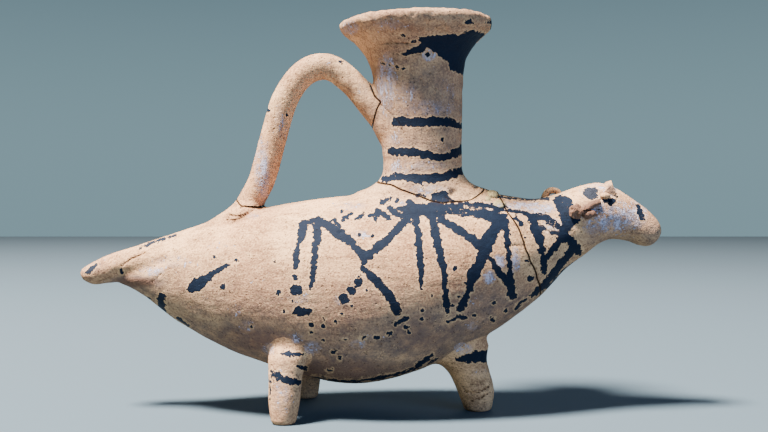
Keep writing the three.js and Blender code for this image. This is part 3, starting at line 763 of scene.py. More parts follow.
def rough(a, b, seed, depth=0.25):
    """The roughness of broken clay over a sheet."""
    at = np.c_[a, b, 0 * a]
    return depth * MM * (noise(at, GRAIN, seed) + LUMPS_SHARE * noise(at, LUMPS, seed + 1))


# %% [markdown]
# Two joins can't be seen: the tail and the head were drawn out of the body's clay or luted on and
# smoothed. Four breaks can: across the breast, round the neck's foot, and at both ends of the handle.

# %% Seams and breaks
TAIL_SEAM = [(42, -101.4), (51, -100.4), (60, -98.4), (68.4, -96.4), (78, -95.4)]
COLLAR_SEAM = [(55, 90), (63.6, 87.8), (78, 83.8), (91, 82.8), (100, 81.6)]
BREAST_BREAK = [
    (40, 72), (48.8, 68.9), (54.4, 67), (60, 64.7), (64.6, 62.6), (69.2, 60.8), (75, 58.7), (79.4, 56.2),
    (83.6, 54), (88, 52.2), (96, 49.5),
]
NECK_BREAK = [  # degrees about the neck's foot, from the tail's side by the near side, and height
    (-180, 94.6), (-136, 92.6), (-104, 89), (-80, 86.2), (-70, 85.6), (-42, 85.6), (-25, 88), (0, 91.6),
    (25, 88.6), (42, 86.4), (75, 86.4), (104, 88.2), (136, 92), (180, 94.6),
]
ROOT_BREAK = [
    (-80, 95), (-60, 89.5), (-54.7, 85.9), (-52.3, 84), (-48, 83.4), (-44.5, 83.2), (-42, 84.6), (-38, 89),
    (-30, 92), (30, 96),
]
HANDLE_BREAK = [(0.1, 133.5), (1.9, 128.9), (4.3, 126.3), (2.9, 123.9), (1.9, 120.6), (0.8, 116.7)]
HANDLE_SIDE = [(-6, 106), (-30, 96), (-34, 80), (-75, 80), (-75, 152), (-10, 149.5), (-4.5, 143)]
HANDLE_GAPE, GAPES_FROM, GAPES_OVER = 0.5 * MM, -52 * MM, 7 * MM
FOOT_CROWN, CROWN_HALF_WIDTH = 0.9 * MM, 5.5 * MM
WANDERS_FROM, WANDERS_OVER = -8 * MM, 24 * MM  # towards the far side the breast's break isn't seen
WANDER, WANDER_LENGTH, WANDER_BACK = 2, 7 * MM, 2.5
FOOT_EDGE, FOOT_SLOPE = 23 * MM, 0.6  # outside the foot the neck's cutting sheet climbs clear of the back
STUB_SIDE = [(-4, 108), (-4, 101), (5, 104), (10.5, 110.5), (13.8, 114.6), (11.4, 119.4), (7, 124)]


def across_breast(y, z):
    wander = WANDER * np.sin(z / WANDER_LENGTH) - WANDER_BACK
    far_side = smooth((y - WANDERS_FROM) / WANDERS_OVER) * wander * MM
    return line_at(BREAST_BREAK, z) + far_side + rough(y, z, 21)


def round_neck(x, y):
    out = np.hypot(x - FOOT_X, y)
    turn = np.degrees(np.arctan2(y, x - FOOT_X))
    angles, heights = np.asarray(NECK_BREAK, float).T
    away = FOOT_SLOPE * np.maximum(0, out - FOOT_EDGE)
    return np.interp(turn, angles, heights) * MM + away + rough(x, y, 31, 0.2)


def under_handle(x, y):
    crown = FOOT_CROWN * smooth(1 - np.abs(y) / CROWN_HALF_WIDTH)
    return line_at(ROOT_BREAK, x) + crown + rough(x, y, 41, 0.15)


def under_foot(x, y):
    """The handle's own broken face, which gapes towards the neck."""
    return under_handle(x, y) + CRACK + HANDLE_GAPE * smooth((x - GAPES_FROM) / GAPES_OVER)


def apart(sheet, shift):
    return lambda a, b: sheet(a, b) + shift


whole = solid("whole", skin_points, skin_faces)
past_tail = beyond("past_tail", 0, lambda y, z: line_at(TAIL_SEAM, z))
past_collar = beyond("past_collar", 0, lambda y, z: line_at(COLLAR_SEAM, z))
past_breast = beyond("past_breast", 0, apart(across_breast, CRACK / 2))
from_breast = beyond("from_breast", 0, apart(across_breast, -CRACK / 2))
over_break = beyond("over_break", 2, apart(round_neck, CRACK / 2))
from_break = beyond("from_break", 2, apart(round_neck, -CRACK / 2))
over_root = beyond("over_root", 2, under_foot)
from_root = beyond("from_root", 2, under_handle)
from_lip = beyond("from_lip", 2, lambda x, y: TOP_HEIGHT + 0 * x, 20 * MM)
in_neck = solid("in_neck", *neck(-SKIN_DEPTH))
near_neck = solid("near_neck", *neck(CRACK - SKIN_DEPTH))
in_animal = solid("in_animal", *animal(-SKIN_DEPTH))
print("break faces", len(past_breast.data.polygons))

# %% [markdown]
# Each thing that stands on the body gets a zone: a closed form that holds it and reaches a little way
# into what it stands on. The piece is what the skin and its zone share, and the rest goes on without it.

# %% Legs and handle cut off
EARTH, UNDER_SOLE = -3, 9  # millimetres, the height and radius of the zone's lowest ring
SLEEVE = 2.2  # millimetres by which the zone is wider than the leg
ROOT_ZONE_HALVES = (17, 12.5, 10)


def leg_zone(name, foot, height, lean, stations):
    """A wide sleeve round a leg, from under its sole into the body."""
    rings = [leaning(foot, lean, 0, EARTH, UNDER_SOLE)]
    rings += [leaning(foot, lean, shift, at * height + 0.01, half + SLEEVE) for at, half, shift in stations]
    rings += [leaning(foot, lean, stations[-1][2] + LEG_ROOT, CORE_HEIGHT / MM, LEG_ROOT + 2)]
    return cut(name, solid(name, *stack(rings)), drop=[in_animal])


pieces = {}
rest = whole
for name, settings in LEGS.items():
    zone = leg_zone(name + "_zone", *settings)
    pieces[name] = cut(name, whole, keep=[zone])
    rest = cut("rest", rest, drop=[zone])

handle_edge = HANDLE_BREAK + HANDLE_SIDE
root_side = solid("root_side", *oval(ROOT_MIDDLE, ROOT_ZONE_HALVES, ROOT_SLOPE))
arch = cut("arch", prism("arch", handle_edge), keep=[from_root], drop=[in_neck])
stub_zone = cut("stub_zone", prism("stub", HANDLE_BREAK[::-1] + STUB_SIDE[::-1]), drop=[in_neck])
root_zone = cut("root_zone", root_side, drop=[from_root, in_animal])
inner = prism("inner", [(x - CRACK / MM, z) for x, z in handle_edge])
pieces["handle"] = cut("handle", whole, keep=[inner, over_root], drop=[near_neck])
pieces["handle_stub"] = cut("handle_stub", whole, keep=[stub_zone])
pieces["handle_root"] = cut("handle_root", whole, keep=[root_zone])
rest = cut("rest", rest, drop=[arch, stub_zone, root_zone])
print({name: len(piece.data.polygons) for name, piece in pieces.items()}, len(rest.data.polygons))

# %% [markdown]
# What is left is the hollow body with its tail, breast and head, and the neck with its lip. The hollow
# is the animal's own form, smaller by the wall; the way in is the neck's form, smaller by its wall.

# %% Body, neck and hollow
MOUTH_TOP = (6, 12)
hollow = solid("hollow", *animal(-WALL, 90, 48, HOLLOW_SPAN))
bore = solid("bore", *neck(-NECK_WALL, (WAIST_RADIUS,) * 2, (WAIST_RADIUS,) * 2))
mouth_steps = [(TOP_RADIUS + out * MM, TOP_HEIGHT + up * MM) for out, up in LIP_INSIDE]
mouth = solid("mouth", *turned([
    (TOP_RADIUS + MOUTH_TOP[0] * MM, TOP_HEIGHT + MOUTH_TOP[1] * MM), *through(mouth_steps, 24),
    (TOP_RADIUS - NECK_WALL, TOP_HEIGHT - 3 * MM),
]))
upper = cut("upper", rest, keep=[over_break], drop=[bore, mouth])
lower = cut("lower", rest, drop=[from_break, hollow, bore])
pieces["neck"] = cut("neck", upper, drop=[from_lip])
pieces["lip_roll"] = cut("lip_roll", upper, keep=[from_lip])
pieces["tail"] = cut("tail", lower, drop=[past_tail])
pieces["body_shell"] = cut("body_shell", lower, keep=[past_tail], drop=[from_breast])
pieces["breast_shell"] = cut("breast_shell", lower, keep=[past_breast], drop=[past_collar])
pieces["head"] = cut("head", lower, keep=[past_collar])
print({name: len(piece.data.polygons) for name, piece in pieces.items()})

# %% [markdown]
# The head's small things are made by themselves and pressed on. An eye is a pellet of clay, a horn is
# a thin coil laid back from the brow, and the forelock is a pinched crest with three flat sides. The
# right horn broke off long ago and left a ragged stump; the left one still curls round.

# %% Eyes, horns and forelock
SEARCH, STANDS_OFF = 1.2, 0.5  # millimetres round a place that count as its flank, and off the flank
head_points = read(pieces["head"].data)[0]


def on_head(side, place, out=0.0):
    """A point on the head's flank at a place of the side view, or further out."""
    near = np.linalg.norm(head_points[:, [0, 2]] / MM - place, axis=1) < SEARCH
    flank = np.abs(head_points[near, 1]).max(initial=0) / MM if near.any() else 0
    return np.array([place[0], side * max(flank + STANDS_OFF, out), place[1]]) * MM


def lumpy(form, seed, depth=0.25, size=1.6 * MM):
    """A form with its surface made a little uneven."""
    points, faces = form
    middle = points.mean(axis=0)
    away = points - middle
    away /= np.maximum(np.linalg.norm(away, axis=1, keepdims=True), 1e-9)
    return points + away * (depth * MM * noise(points, size, seed))[:, None], faces


EYE_PLACE, EYE_HALVES = (94.9, 88.3), (2.2, 2.1, 1.35)
HORN_BASE = [(92.4, 86), (89.6, 84.9), (86.8, 83.2), (83.8, 81.6)]
HORN_HALF, HORN_TIP_HALF = 1.6 * MM, 1 * MM
STUMP_PLACE, STUMP_HALVES = (82.4, 81.8), (3, 2.6, 2.5)
CHEEK_PLACE, CHEEK_HALVES = (88.4, 80.9), (2.7, 1.6, 1.6)
CURL_CENTRE, CURL_RADII, CURL_OUT = (77.5, 87.6), (4.9, 1.5), 11
CURL_TURNS = np.radians(np.linspace(-70, -490, 13))

eyes = {}
for name, side in (("eye_right", -1), ("eye_left", 1)):
    x, y, z = on_head(side, EYE_PLACE) / MM
    eyes[name] = solid(name + "_form", *lumpy(oval((x, y - side, z), EYE_HALVES), 51, 0.12))
turn_radii = np.linspace(*CURL_RADII, len(CURL_TURNS))
curl = [(CURL_CENTRE[0] + radius * math.cos(turn), CURL_CENTRE[1] + radius * math.sin(turn))
        for radius, turn in zip(turn_radii, CURL_TURNS)]
whole_line = [on_head(1, place) for place in HORN_BASE]
whole_line += [on_head(1, place, CURL_OUT) for place in curl]
whole_horn = coil("whole_horn", through(whole_line, 140), HORN_HALF, HORN_TIP_HALF, 0.5, True)
base_line = [on_head(-1, place) for place in HORN_BASE]
ridge = coil("ridge", through(base_line, 40), HORN_HALF * 0.8, HORN_HALF, 0.0, True)
stump_middle, cheek_middle = on_head(-1, STUMP_PLACE) / MM, on_head(-1, CHEEK_PLACE) / MM
print("curl", np.round(turn_radii, 1))

# %% [markdown]
# These little forms are joined and trimmed with the same booleans. What lies on the head ends at the
# head's skin, so nothing is buried in it and no faces lie in one another.

# %% Small pieces trimmed
FORELOCK = [(92.8, 89), (100.8, 88.6), (98.4, 94.5)]
FORELOCK_HALF_WIDTH = 8.2
FORELOCK_END = (97.6, 88.9), 0.75  # the point its ends shrink to, and how far
NARROWS_FROM, NARROWS_OVER = 0.55, 0.45  # shares of the half width
UPPER_SKIN, NEAREST = 80, 6  # millimetres of height, and the points that a height is the mean of
FILLS = {  # middle over the ground, half sizes in millimetres, and roll down the flank
    "fill_ridge": ((49.4, -7), (2.7, 3.8, 1.4), 0.3),
    "fill_wedge": ((46.6, -12), (2.6, 2.4, 1.2), 0.5),
    "fill_chip": ((51.6, -14), (2.8, 2.3, 1.2), 0.6),
}
FILL_SUNK = 0.1


def ground(x, y):
    """The height of the body's upper skin at a place."""
    points = np.vstack([read(pieces[name].data)[0] for name in ("body_shell", "breast_shell")]) / MM
    points = points[points[:, 2] > UPPER_SKIN]
    return points[np.hypot(points[:, 0] - x, points[:, 1] - y).argsort()[:NEAREST], 2].mean()


def pressed(middle, halves, roll):
    """A flat lump pressed on sloping clay."""
    points, faces = oval((0, 0, 0), halves)
    sine, cosine = math.sin(roll), math.cos(roll)
    lean = np.array([[1, 0, 0], [0, cosine, -sine], [0, sine, cosine]])
    return points @ lean.T + np.array(middle) * MM, faces


def crest():
    """A wedge of three flat sides right across the forehead, narrower at both ends."""
    outline, (towards, least) = np.array(FORELOCK), FORELOCK_END
    rings = []
    for row in np.linspace(-1, 1, 17):
        shrink = 1 - (1 - least) * smooth((abs(row) - NARROWS_FROM) / NARROWS_OVER)
        corners = towards + (outline - towards) * shrink
        fine = np.array([a + (b - a) * t for a, b in zip(corners, np.roll(corners, -1, axis=0))
                         for t in np.arange(12) / 12])
        rings.append(side_view(fine[:, 0], fine[:, 1], row * FORELOCK_HALF_WIDTH))
    return tube(np.array(rings))


head = pieces["head"]
small = {
    **eyes, "forelock": solid("crest", *lumpy(crest(), 61, 0.3)),
    "horn_left": solid("curled", *lumpy(whole_horn, 63, 0.12)),
    "horn_right": solid("ridge", *lumpy(ridge, 67, 0.3)),
}
stump = solid("stump", *lumpy(oval(stump_middle, STUMP_HALVES), 65, 1.1, 1.2 * MM))
cheek = solid("cheek", *lumpy(oval(cheek_middle, CHEEK_HALVES, 0.3), 66, 0.7, 1.3 * MM))
for name, form in small.items():
    pieces[name] = cut(name, form, add=[stump, cheek] if name == "horn_right" else [], drop=[head])
under = [pieces[name] for name in ("body_shell", "breast_shell", "neck")]
for name, ((x, y), halves, roll) in FILLS.items():
    lump = pressed((x, y, ground(x, y) - FILL_SUNK), halves, roll)
    pieces[name] = cut(name, solid(name + "_form", *lumpy(lump, 71, 0.45, 1.1 * MM)), drop=under)
    under.append(pieces[name])
print({name: len(pieces[name].data.polygons) for name in [*small, *FILLS]})

# %% [markdown]
# The painter drew bands round the neck, and on each flank a net of strokes that hangs from the neck's
# foot. The slip was thick and blue-black, and it has flaked. Each stroke is a line of the picture with
# its width at each point, read off; wear says how much of it is gone, from 0 to 1.

# %% Strokes on the neck
NECK_STROKES = {
    "upper_band": ([(396, 121.5, 9), (416, 122, 9.5), (440, 121.5, 9.5), (447, 121.8, 9), (455, 124.7, 7),
                    (462, 126.5, 5.5)], 0.12),
    "middle_band": ([(387.6, 151, 2.5), (389, 151, 3), (391, 151.8, 8), (412, 152, 8.5), (425.4, 154, 8),
                     (438.6, 158.2, 7.5), (450.3, 155.5, 8), (462, 149.8, 9)], 0.12),
    "lower_band": ([(383.5, 179, 6), (396, 176.4, 8), (412, 177.6, 9), (432.7, 178.3, 10), (447.4, 176, 9),
                    (464, 169.5, 8)], 0.15),
    "drip": ([(421, 184, 3.4), (423.4, 188, 2)], 0.2),
    "foot_dash": ([(412, 194.5, 2.4), (419, 195.5, 3), (425.4, 196, 2.4)], 0.45),
    "lip_spot": ([(466.5, 22, 5), (471, 22, 4.5)], 0.25),
    "lip_streak": ([(485, 22.6, 2), (492, 22.6, 3)], 0.2),
    "fleck_a": ([(381, 62.5, 1.6), (385, 64, 2)], 0.5),
    "fleck_b": ([(389.5, 65, 1.6), (392, 66, 1.4)], 0.5),
    "fleck_c": ([(397.5, 67.6, 3.4), (398, 67.8, 3)], 0.2),
    "fleck_d": ([(403, 69, 1.4), (407.5, 67.8, 1.8)], 0.3),
    "fleck_e": ([(402.6, 35.7, 4), (403, 35.7, 4)], 0.2),
    "fleck_f": ([(410, 42.3, 1.4), (415, 41.8, 1.4)], 0.4),
    "in_chip": ([(427, 55, 5), (428.5, 54.6, 5)], 0.2),
}
print("neck", len(NECK_STROKES), "strokes")

# %% [markdown]
# The net on the flank: drops, a rising arch and long strokes that meet in the knot at the neck's foot.

# %% Strokes on the flanks
FLANK_STROKES = {
    "first_drop": ([(303.3, 225, 9), (301.4, 235, 9.5), (297.6, 244, 3.6), (296.3, 253, 6), (297, 260.5, 7.5),
                    (295.7, 267, 5)], 0.25),
    "second_drop": ([(316.7, 221, 8), (317.4, 230, 9), (316.7, 239, 8), (314.8, 246.5, 6.6),
                     (314.2, 256.7, 7), (313.5, 267, 6), (312.3, 278.4, 5.6), (311.6, 285, 5),
                     (309.7, 289, 2.6)], 0.14),
    "arch": ([(303, 223.5, 7), (309, 221.5, 5), (314, 219.5, 6), (319, 220.5, 9), (329.5, 226.5, 10),
              (339.7, 233.8, 11), (344.8, 237.6, 10), (352.4, 244, 8), (358.8, 250.4, 8), (364, 256, 9),
              (364.5, 260.5, 6), (362.7, 266.3, 3)], 0.1),
    "arch_end": ([(363.4, 267.4, 5), (367.8, 272, 8), (375.4, 279.7, 9), (383, 288.6, 10), (392, 299, 10),
                  (397, 310.3, 9)], 0.22),
    "arch_tail": ([(396.6, 323.6, 4.6), (407.6, 318, 4.2)], 0.3),
    "rising": ([(406, 220, 9), (395.8, 230.6, 9.5), (385.6, 241, 9), (374, 250.4, 9), (364.5, 259, 7)], 0.12),
    "upright": ([(414.6, 212, 9), (415.6, 223.6, 7.5), (418.6, 233.8, 6.6), (419, 246.5, 6.6),
                 (420, 259.3, 7.4), (420.7, 272, 6.6), (421, 281, 5.6), (420.7, 288.6, 3)], 0.08),
    "leaning": ([(432, 214, 10), (433.2, 223.8, 8), (435.6, 235, 9), (438.8, 249.3, 8), (442.6, 263.6, 7.6),
                 (444.3, 274.8, 6), (445.1, 287.6, 5.6), (446.7, 303.5, 8), (447.8, 311, 5)], 0.14),
    "leaning_tail": ([(448, 312, 3.5), (446, 316, 2)], 0.2),
    "falling": ([(440, 219, 8), (453.9, 227, 8.5), (466.7, 235, 8), (477.8, 243, 10)], 0.1),
    "collar_low": ([(430, 209, 14), (446, 208.5, 12), (458.7, 211, 9), (468.3, 212.8, 8), (482.6, 213.2, 11),
                    (494, 216.6, 13), (501, 219.5, 10)], 0.2),
    "collar_high": ([(452, 203.6, 3), (466.7, 203.8, 5), (477.8, 204.8, 5), (490.6, 206.2, 5.5),
                     (501.7, 209.4, 5), (513, 211, 3.6), (521, 212, 3.6), (532, 215.6, 6),
                     (544.8, 217.6, 6.6), (552.8, 222.2, 8), (558, 226, 8)], 0.2),
    "collar_knot": ([(463, 206, 4), (472, 209, 6), (480, 209.5, 4)], 0.45),
    "broad": ([(500.2, 219, 13), (493.8, 230.2, 12), (487.4, 241.3, 15), (484, 252.5, 14), (479.6, 263.6, 10),
               (473.8, 274, 13.5), (470.7, 286, 7.4), (466.7, 295.5, 6), (461, 307.6, 8)], 0.12),
    "broad_foot": ([(447.5, 321.6, 3), (453, 319.4, 2.6), (457.5, 317, 2.4), (459.6, 313, 2.4),
                    (461, 317.4, 4.6), (466, 318, 2)], 0.12),
    "broad_branch": ([(481, 250, 4), (476, 262, 2.4)], 0.3),
    "thin_drop": ([(504, 218, 8), (506.5, 230.2, 7.6), (508, 243, 6.2), (509, 255.7, 5.4),
                   (510.3, 271.6, 5.6), (510, 281.2, 8.4), (512, 295.5, 9)], 0.12),
    "cross": ([(490, 257.5, 5), (498.6, 271.6, 6.6), (508, 283, 8)], 0.1),
    "past_break": ([(515.6, 218.6, 4.4), (521.4, 223.8, 4.6)], 0.15),
    "throat_drop": ([(532, 217, 9), (535.2, 230.2, 10), (540, 239.7, 8.6), (542.4, 252.5, 6.4),
                     (544, 263.6, 7), (544.4, 273.6, 5)], 0.1),
    "throat_back": ([(545.4, 260, 5), (551.2, 252.5, 6.2), (559, 241.3, 7)], 0.1),
    "throat_bar": ([(539, 227, 5), (546, 229.4, 4.4), (554.4, 232.2, 4.6), (562.3, 235.5, 6)], 0.35),
    "throat_fall": ([(568, 238, 9), (573.5, 243.5, 8.4), (578.6, 252, 8)], 0.12),
    "throat_long": ([(574.5, 248, 7), (562.3, 262, 8), (552.8, 274.8, 7.6), (541.6, 287.6, 7.4),
                     (532, 295.8, 4.4)], 0.14),
    "throat_edge": ([(577.5, 262, 4.4), (565.5, 271, 6), (553, 282.6, 5), (548, 287.6, 3)], 0.12),
    "breast_dash": ([(515.8, 308.6, 3), (520, 303.6, 4.4), (525.9, 299.4, 3)], 0.15),
    "ridge": ([(497, 197, 2.6), (512, 198.4, 2.8), (530, 199.4, 3), (548, 198.4, 3)], 0.2),
    "comma": ([(192.6, 287.6, 11), (197, 284.6, 13.5), (204.5, 279.4, 8.6), (214, 272.6, 6.4),
               (222, 268.4, 5), (229, 264.4, 3.2)], 0.1),
    "tail_stroke": ([(161.6, 295.6, 7.6), (160.8, 301, 8.4), (161.8, 306, 8), (164, 311, 5)], 0.12),
    "tail_slash": ([(87, 273, 4), (91, 269, 4.6), (96.5, 265.4, 3.2)], 0.2),
    "tail_ridge": ([(139.6, 248.2, 2.2), (152, 243.2, 2.6), (165, 238.2, 2.6), (175.8, 234.6, 2)], 0.2),
    "belly_line": ([(312, 377, 2), (326, 379, 3), (341, 381.6, 3), (356, 381.8, 3), (374, 378.6, 3),
                    (392, 375.4, 3.4), (406, 371.6, 3), (418, 367.6, 3)], 0.35),
    "belly_slant": ([(418, 366, 6), (425, 360, 5), (432.6, 355, 3)], 0.25),
    "belly_slant_b": ([(428, 363.6, 3), (437, 359, 3)], 0.3),
}
print("flank", len(FLANK_STROKES), "strokes")

# %% [markdown]
# Slip also came down in short dashes and drops. A spot has only a middle and a radius. Both are made a
# little larger than they look, because the ragged edge of the slip eats into them.

# %% Dashes and spots
FLANK_DASHES = {
    "near_neck": [(382.4, 202.6, 4.4), (390, 198.6, 3.4)],
    "leaning_a": [(376.7, 210.8, 4), (388.8, 217.4, 4.6)],
    "leaning_b": [(388.8, 208.2, 5), (401, 217, 5)],
    "leaning_c": [(399, 208.3, 4.4), (409, 211, 6)],
    "forked": [(369, 216.4, 3), (377, 214, 3)],
    "forked_foot": [(374.6, 217.4, 3), (376, 221.4, 3)],
    "dash_d": [(356.3, 218.6, 3), (363.3, 213.4, 3)],
    "dash_e": [(341, 220.4, 3.6), (350.5, 214, 3)],
    "hook": [(336, 222.3, 2.6), (340.4, 227.6, 2.4)],
    "low_a": [(328, 371, 2), (331, 370.6, 2)],
    "low_b": [(332, 352, 2.4), (334.6, 352, 1.8)],
    "low_c": [(361, 338, 2.2), (364, 337.6, 1.6)],
    "low_d": [(375, 337.4, 2.4), (378.6, 336.8, 1.8)],
    "low_e": [(388.6, 333.4, 2.8), (391.6, 332.8, 2)],
    "rump_edge": [(145, 297.6, 2.4), (149, 299.4, 2)],
    "low_edge": [(178, 318.6, 2.4), (188, 325.2, 2.4)],
}
SPOTS = [
    (334.6, 221, 2.5), (397, 200.2, 2.3), (409, 201.6, 3.4), (341.6, 211.5, 1.2), (360, 234, 2),
    (372, 235.3, 1), (367, 290, 1.9), (279, 292.5, 3.3), (295, 277, 2.8), (296.3, 290.5, 6),
    (298.2, 311.6, 5), (303, 311.6, 4), (308.4, 311.6, 3.7), (311, 325, 2.8), (323.7, 318.6, 1.5),
    (323.7, 326, 2.4), (335.9, 321, 1.9), (358.2, 281.6, 5.2), (351, 290.5, 4.8), (344, 298.8, 5.4),
    (362, 275.4, 2), (354.8, 286, 2.4), (341, 313.5, 1.9), (406.6, 327.5, 2.8), (284, 311, 1.8),
    (309.7, 297.5, 1.4), (292.5, 300, 1.2), (297.6, 300.7, 1.2), (274, 261.6, 1.2), (236.6, 260.8, 2),
    (249, 254.8, 0.9), (422.6, 310.3, 1.8), (422.6, 319.5, 2.2), (251.4, 327.3, 1), (524.9, 237.3, 1.4),
    (527.6, 260.8, 1.5), (530, 278.8, 3.1), (494.3, 303.2, 1.8), (493, 319.4, 2.6), (474.3, 315, 2),
    (506.2, 310.7, 1.4), (458.4, 296.3, 1.4), (465, 283, 1.4), (452.4, 305, 1.6), (340, 358, 1.2),
    (323, 340, 1.1), (345, 339, 1.2), (409, 332, 1.2), (311, 333, 1.2), (214.6, 257, 1),
    (388.6, 263, 0.8), (432, 296, 0.9), (455, 268, 0.8), (120.9, 272, 2.4), (350.6, 305, 1.2),
    (223.4, 286.4, 3), (460.6, 308.6, 4.2), (342.5, 63.5, 2.2), (340, 62.5, 1.6), (268.5, 110, 1.8),
    (288, 115, 1.2), (442, 139.5, 1.8),
]
SMALLEST, DASH_SPREAD = 1.5, 0.5  # pixels, the least radius of a spot and how far a dash is widened
DASH_WEAR, SPOT_WEAR = 0.15, 0.1
print("dashes", len(FLANK_DASHES), "spots", len(SPOTS))

# %% [markdown]
# Where slip covers an area it is a patch, given by its corners: the blot on the rim, the knot that the
# strokes hang from, the stripe round the collar, and what is left round the eye and on the brow.

# %% Head, legs and patches
HEAD_STROKES = {
    "snout_dash": ([(638.6, 206.4, 4.6), (640.5, 212.6, 6.4), (642.2, 219, 4)], 0.12),
}
LEG_STROKES = {
    "thigh_dash": ([(280, 353.4, 3), (290, 354, 5), (303, 354.4, 4)], 0.2),
    "thigh_patch": ([(299, 366.6, 4), (305, 368.6, 5)], 0.3),
    "zigzag_a": ([(271, 372, 4), (277, 378, 6)], 0.25),
    "zigzag_b": ([(277, 374, 5), (284, 380, 7)], 0.2),
    "zigzag_c": ([(286, 379.6, 6), (293, 381.6, 8), (299, 382.6, 5)], 0.2),
    "shin_line": ([(270.6, 380, 1.8), (270.4, 390, 1.6), (270.2, 399, 1.4)], 0.4),
    "front_patch": ([(459, 360, 5), (467, 358.6, 9), (477, 357, 11.5), (488, 356.6, 13)], 0.12),
}
PATCHES = {  # corners, wear
    "rim_blot": ([(418.8, 36.7), (432.7, 36), (448.9, 34.5), (463.5, 34.2), (472.3, 30), (484, 33), (486, 36),
                  (481, 43), (476, 51), (471, 62), (469, 78), (456.2, 72.6), (448.9, 67.5), (447.4, 61.6),
                  (439.3, 58), (435.6, 52.1), (431.2, 50.6), (423.9, 51.4), (416.6, 53.6), (403.4, 55.8),
                  (400.4, 53.6), (409.2, 49.9), (418, 45.5), (420.2, 42.5)], 0.1),
    "neck_patch": ([(427, 200.8), (432, 193.7), (440, 191.5), (447.4, 192), (450, 196), (453.3, 201),
                    (440, 203)], 0.25),
    "node": ([(401, 214), (405, 210.5), (400, 207), (407, 204.6), (410, 199.8), (415.5, 203.4), (424, 203),
              (437, 203), (440, 214), (431, 217), (420, 215.6), (408, 221), (401, 219)], 0.08),
    "node_right": ([(434, 203), (452, 202.6), (466, 204), (462, 215), (447, 214), (441, 221),
                    (432, 217)], 0.16),
    "collar_stripe": ([(552.8, 199.9), (556, 195.9), (565.5, 194.3), (570.3, 198.3), (574.6, 206),
                       (570.3, 207.8), (569.5, 214.2), (573.5, 218.4), (579.9, 218.6), (579.1, 223.4),
                       (574.3, 224.6), (570.3, 228.6), (568.4, 233), (573.5, 240), (567, 243.5),
                       (558, 243), (556.4, 233), (561, 228), (561.6, 222), (559, 216), (555.8, 207.6)], 0.2),
    "eye_rim": ([(602.2, 199.3), (604, 197.6), (606.5, 198.4), (608.8, 200.4), (611, 199.4), (613.5, 197.4),
                 (617, 196.6), (617.6, 198.6), (615.6, 201.6), (612.6, 204), (610.2, 204.8), (607.4, 203.4),
                 (604.6, 202.4), (602.6, 201.6)], 0.05),
    "brow_patch": ([(582.4, 192.4), (585, 188.6), (590, 187), (594.6, 186.4), (598, 192), (597.6, 198),
                    (592, 199.4), (587, 197.6), (583, 195.2)], 0.1),
}
BARE_CHIP = (428, 55, 6.4)  # where a flake of slip came off the rim's blot, round a spot
FADED = {"brow_patch": 1, "ridge": 0.6, "tail_slash": 0.5, "tail_ridge": 0.6, "throat_bar": 0.3}
RUBBED = [  # middle in the picture, half sizes, how much more the slip is worn there
    (391, 176, 13, 8, 0.24), (454, 212, 26, 6, 0.2), (474, 208, 14, 4, 0.12), (553, 227, 9, 8, 0.25),
    (299, 262, 7, 10, 0.16), (345, 296, 14, 12, 0.16), (314, 286, 5, 6, 0.2), (398, 312, 8, 10, 0.12),
    (566, 212, 5, 16, 0.14), (445, 312, 6, 8, 0.15), (283, 376, 16, 8, 0.15),
]
STROKES = {**NECK_STROKES, **FLANK_STROKES, **HEAD_STROKES, **LEG_STROKES}
print("strokes", len(STROKES), "patches", len(PATCHES))

# %% [markdown]
# Whitish lime from the ground has stuck to the clay in films and spots, thickest on the head, under the
# rim by the handle and on the breast. Brown soil lies on it in blots, and the same blots paint shade
# under the tail, under the jaw, on the forelock's lower face and low on the flanks. Along a break the
# clay is stained brown. All these are kept on the points as plain numbers, and the shader turns them
# into edges with noise.

# %% Lime, soil and painted shade
LIME = [  # middle in the picture, half sizes, strength
    (386, 82, 12, 36, 0.8), (405, 96, 26, 26, 0.55), (430, 108, 36, 12, 0.6), (448, 92, 16, 18, 0.5),
    (400, 168, 14, 10, 0.7), (425, 166, 34, 8, 0.6), (430, 190, 26, 8, 0.7), (395, 138, 14, 12, 0.55),
    (440, 142, 22, 14, 0.45), (420, 70, 24, 12, 0.4), (429, 55, 8, 7, 0.95), (515, 259, 6, 14, 1),
    (499, 262, 8, 9, 0.95), (489, 277, 7, 8, 0.95), (500, 206, 50, 6, 0.7), (530, 208, 34, 9, 0.85),
    (552, 226, 12, 10, 0.85), (566, 222, 8, 16, 0.6), (612, 216, 34, 20, 0.85), (600, 192, 24, 12, 0.75),
    (636, 214, 14, 18, 0.8), (592, 228, 14, 12, 0.6), (253, 216, 11, 5, 0.6), (152, 271, 15, 6, 0.8),
    (172, 262, 34, 10, 0.55), (220, 246, 30, 10, 0.45), (200, 290, 30, 20, 0.35),
    (248, 326, 14, 10, 0.55), (236, 310, 12, 10, 0.5), (262, 280, 18, 16, 0.45), (297, 339, 9, 7, 0.7),
    (312, 348, 11, 9, 0.75), (268, 349, 9, 9, 0.65), (358, 344, 12, 7, 0.6), (372, 337, 20, 5, 0.5),
    (463, 349, 12, 8, 0.75), (472, 326, 9, 7, 0.6), (480, 372, 16, 12, 0.5), (282, 395, 12, 30, 0.6),
    (262, 170, 9, 36, 0.85), (280, 120, 9, 30, 0.55), (320, 62, 34, 6, 0.5), (362, 92, 12, 16, 0.5),
    (360, 234, 12, 6, 0.7), (300, 298, 16, 8, 0.6), (343, 300, 14, 8, 0.6), (350, 206, 26, 7, 0.6),
    (388, 25, 24, 10, 0.55), (350, 28, 12, 10, 0.7), (440, 14, 50, 5, 0.45), (110, 262, 22, 8, 0.4),
    (402, 205, 14, 8, 0.6), (470, 300, 18, 12, 0.4), (405, 318, 10, 10, 0.4),
]
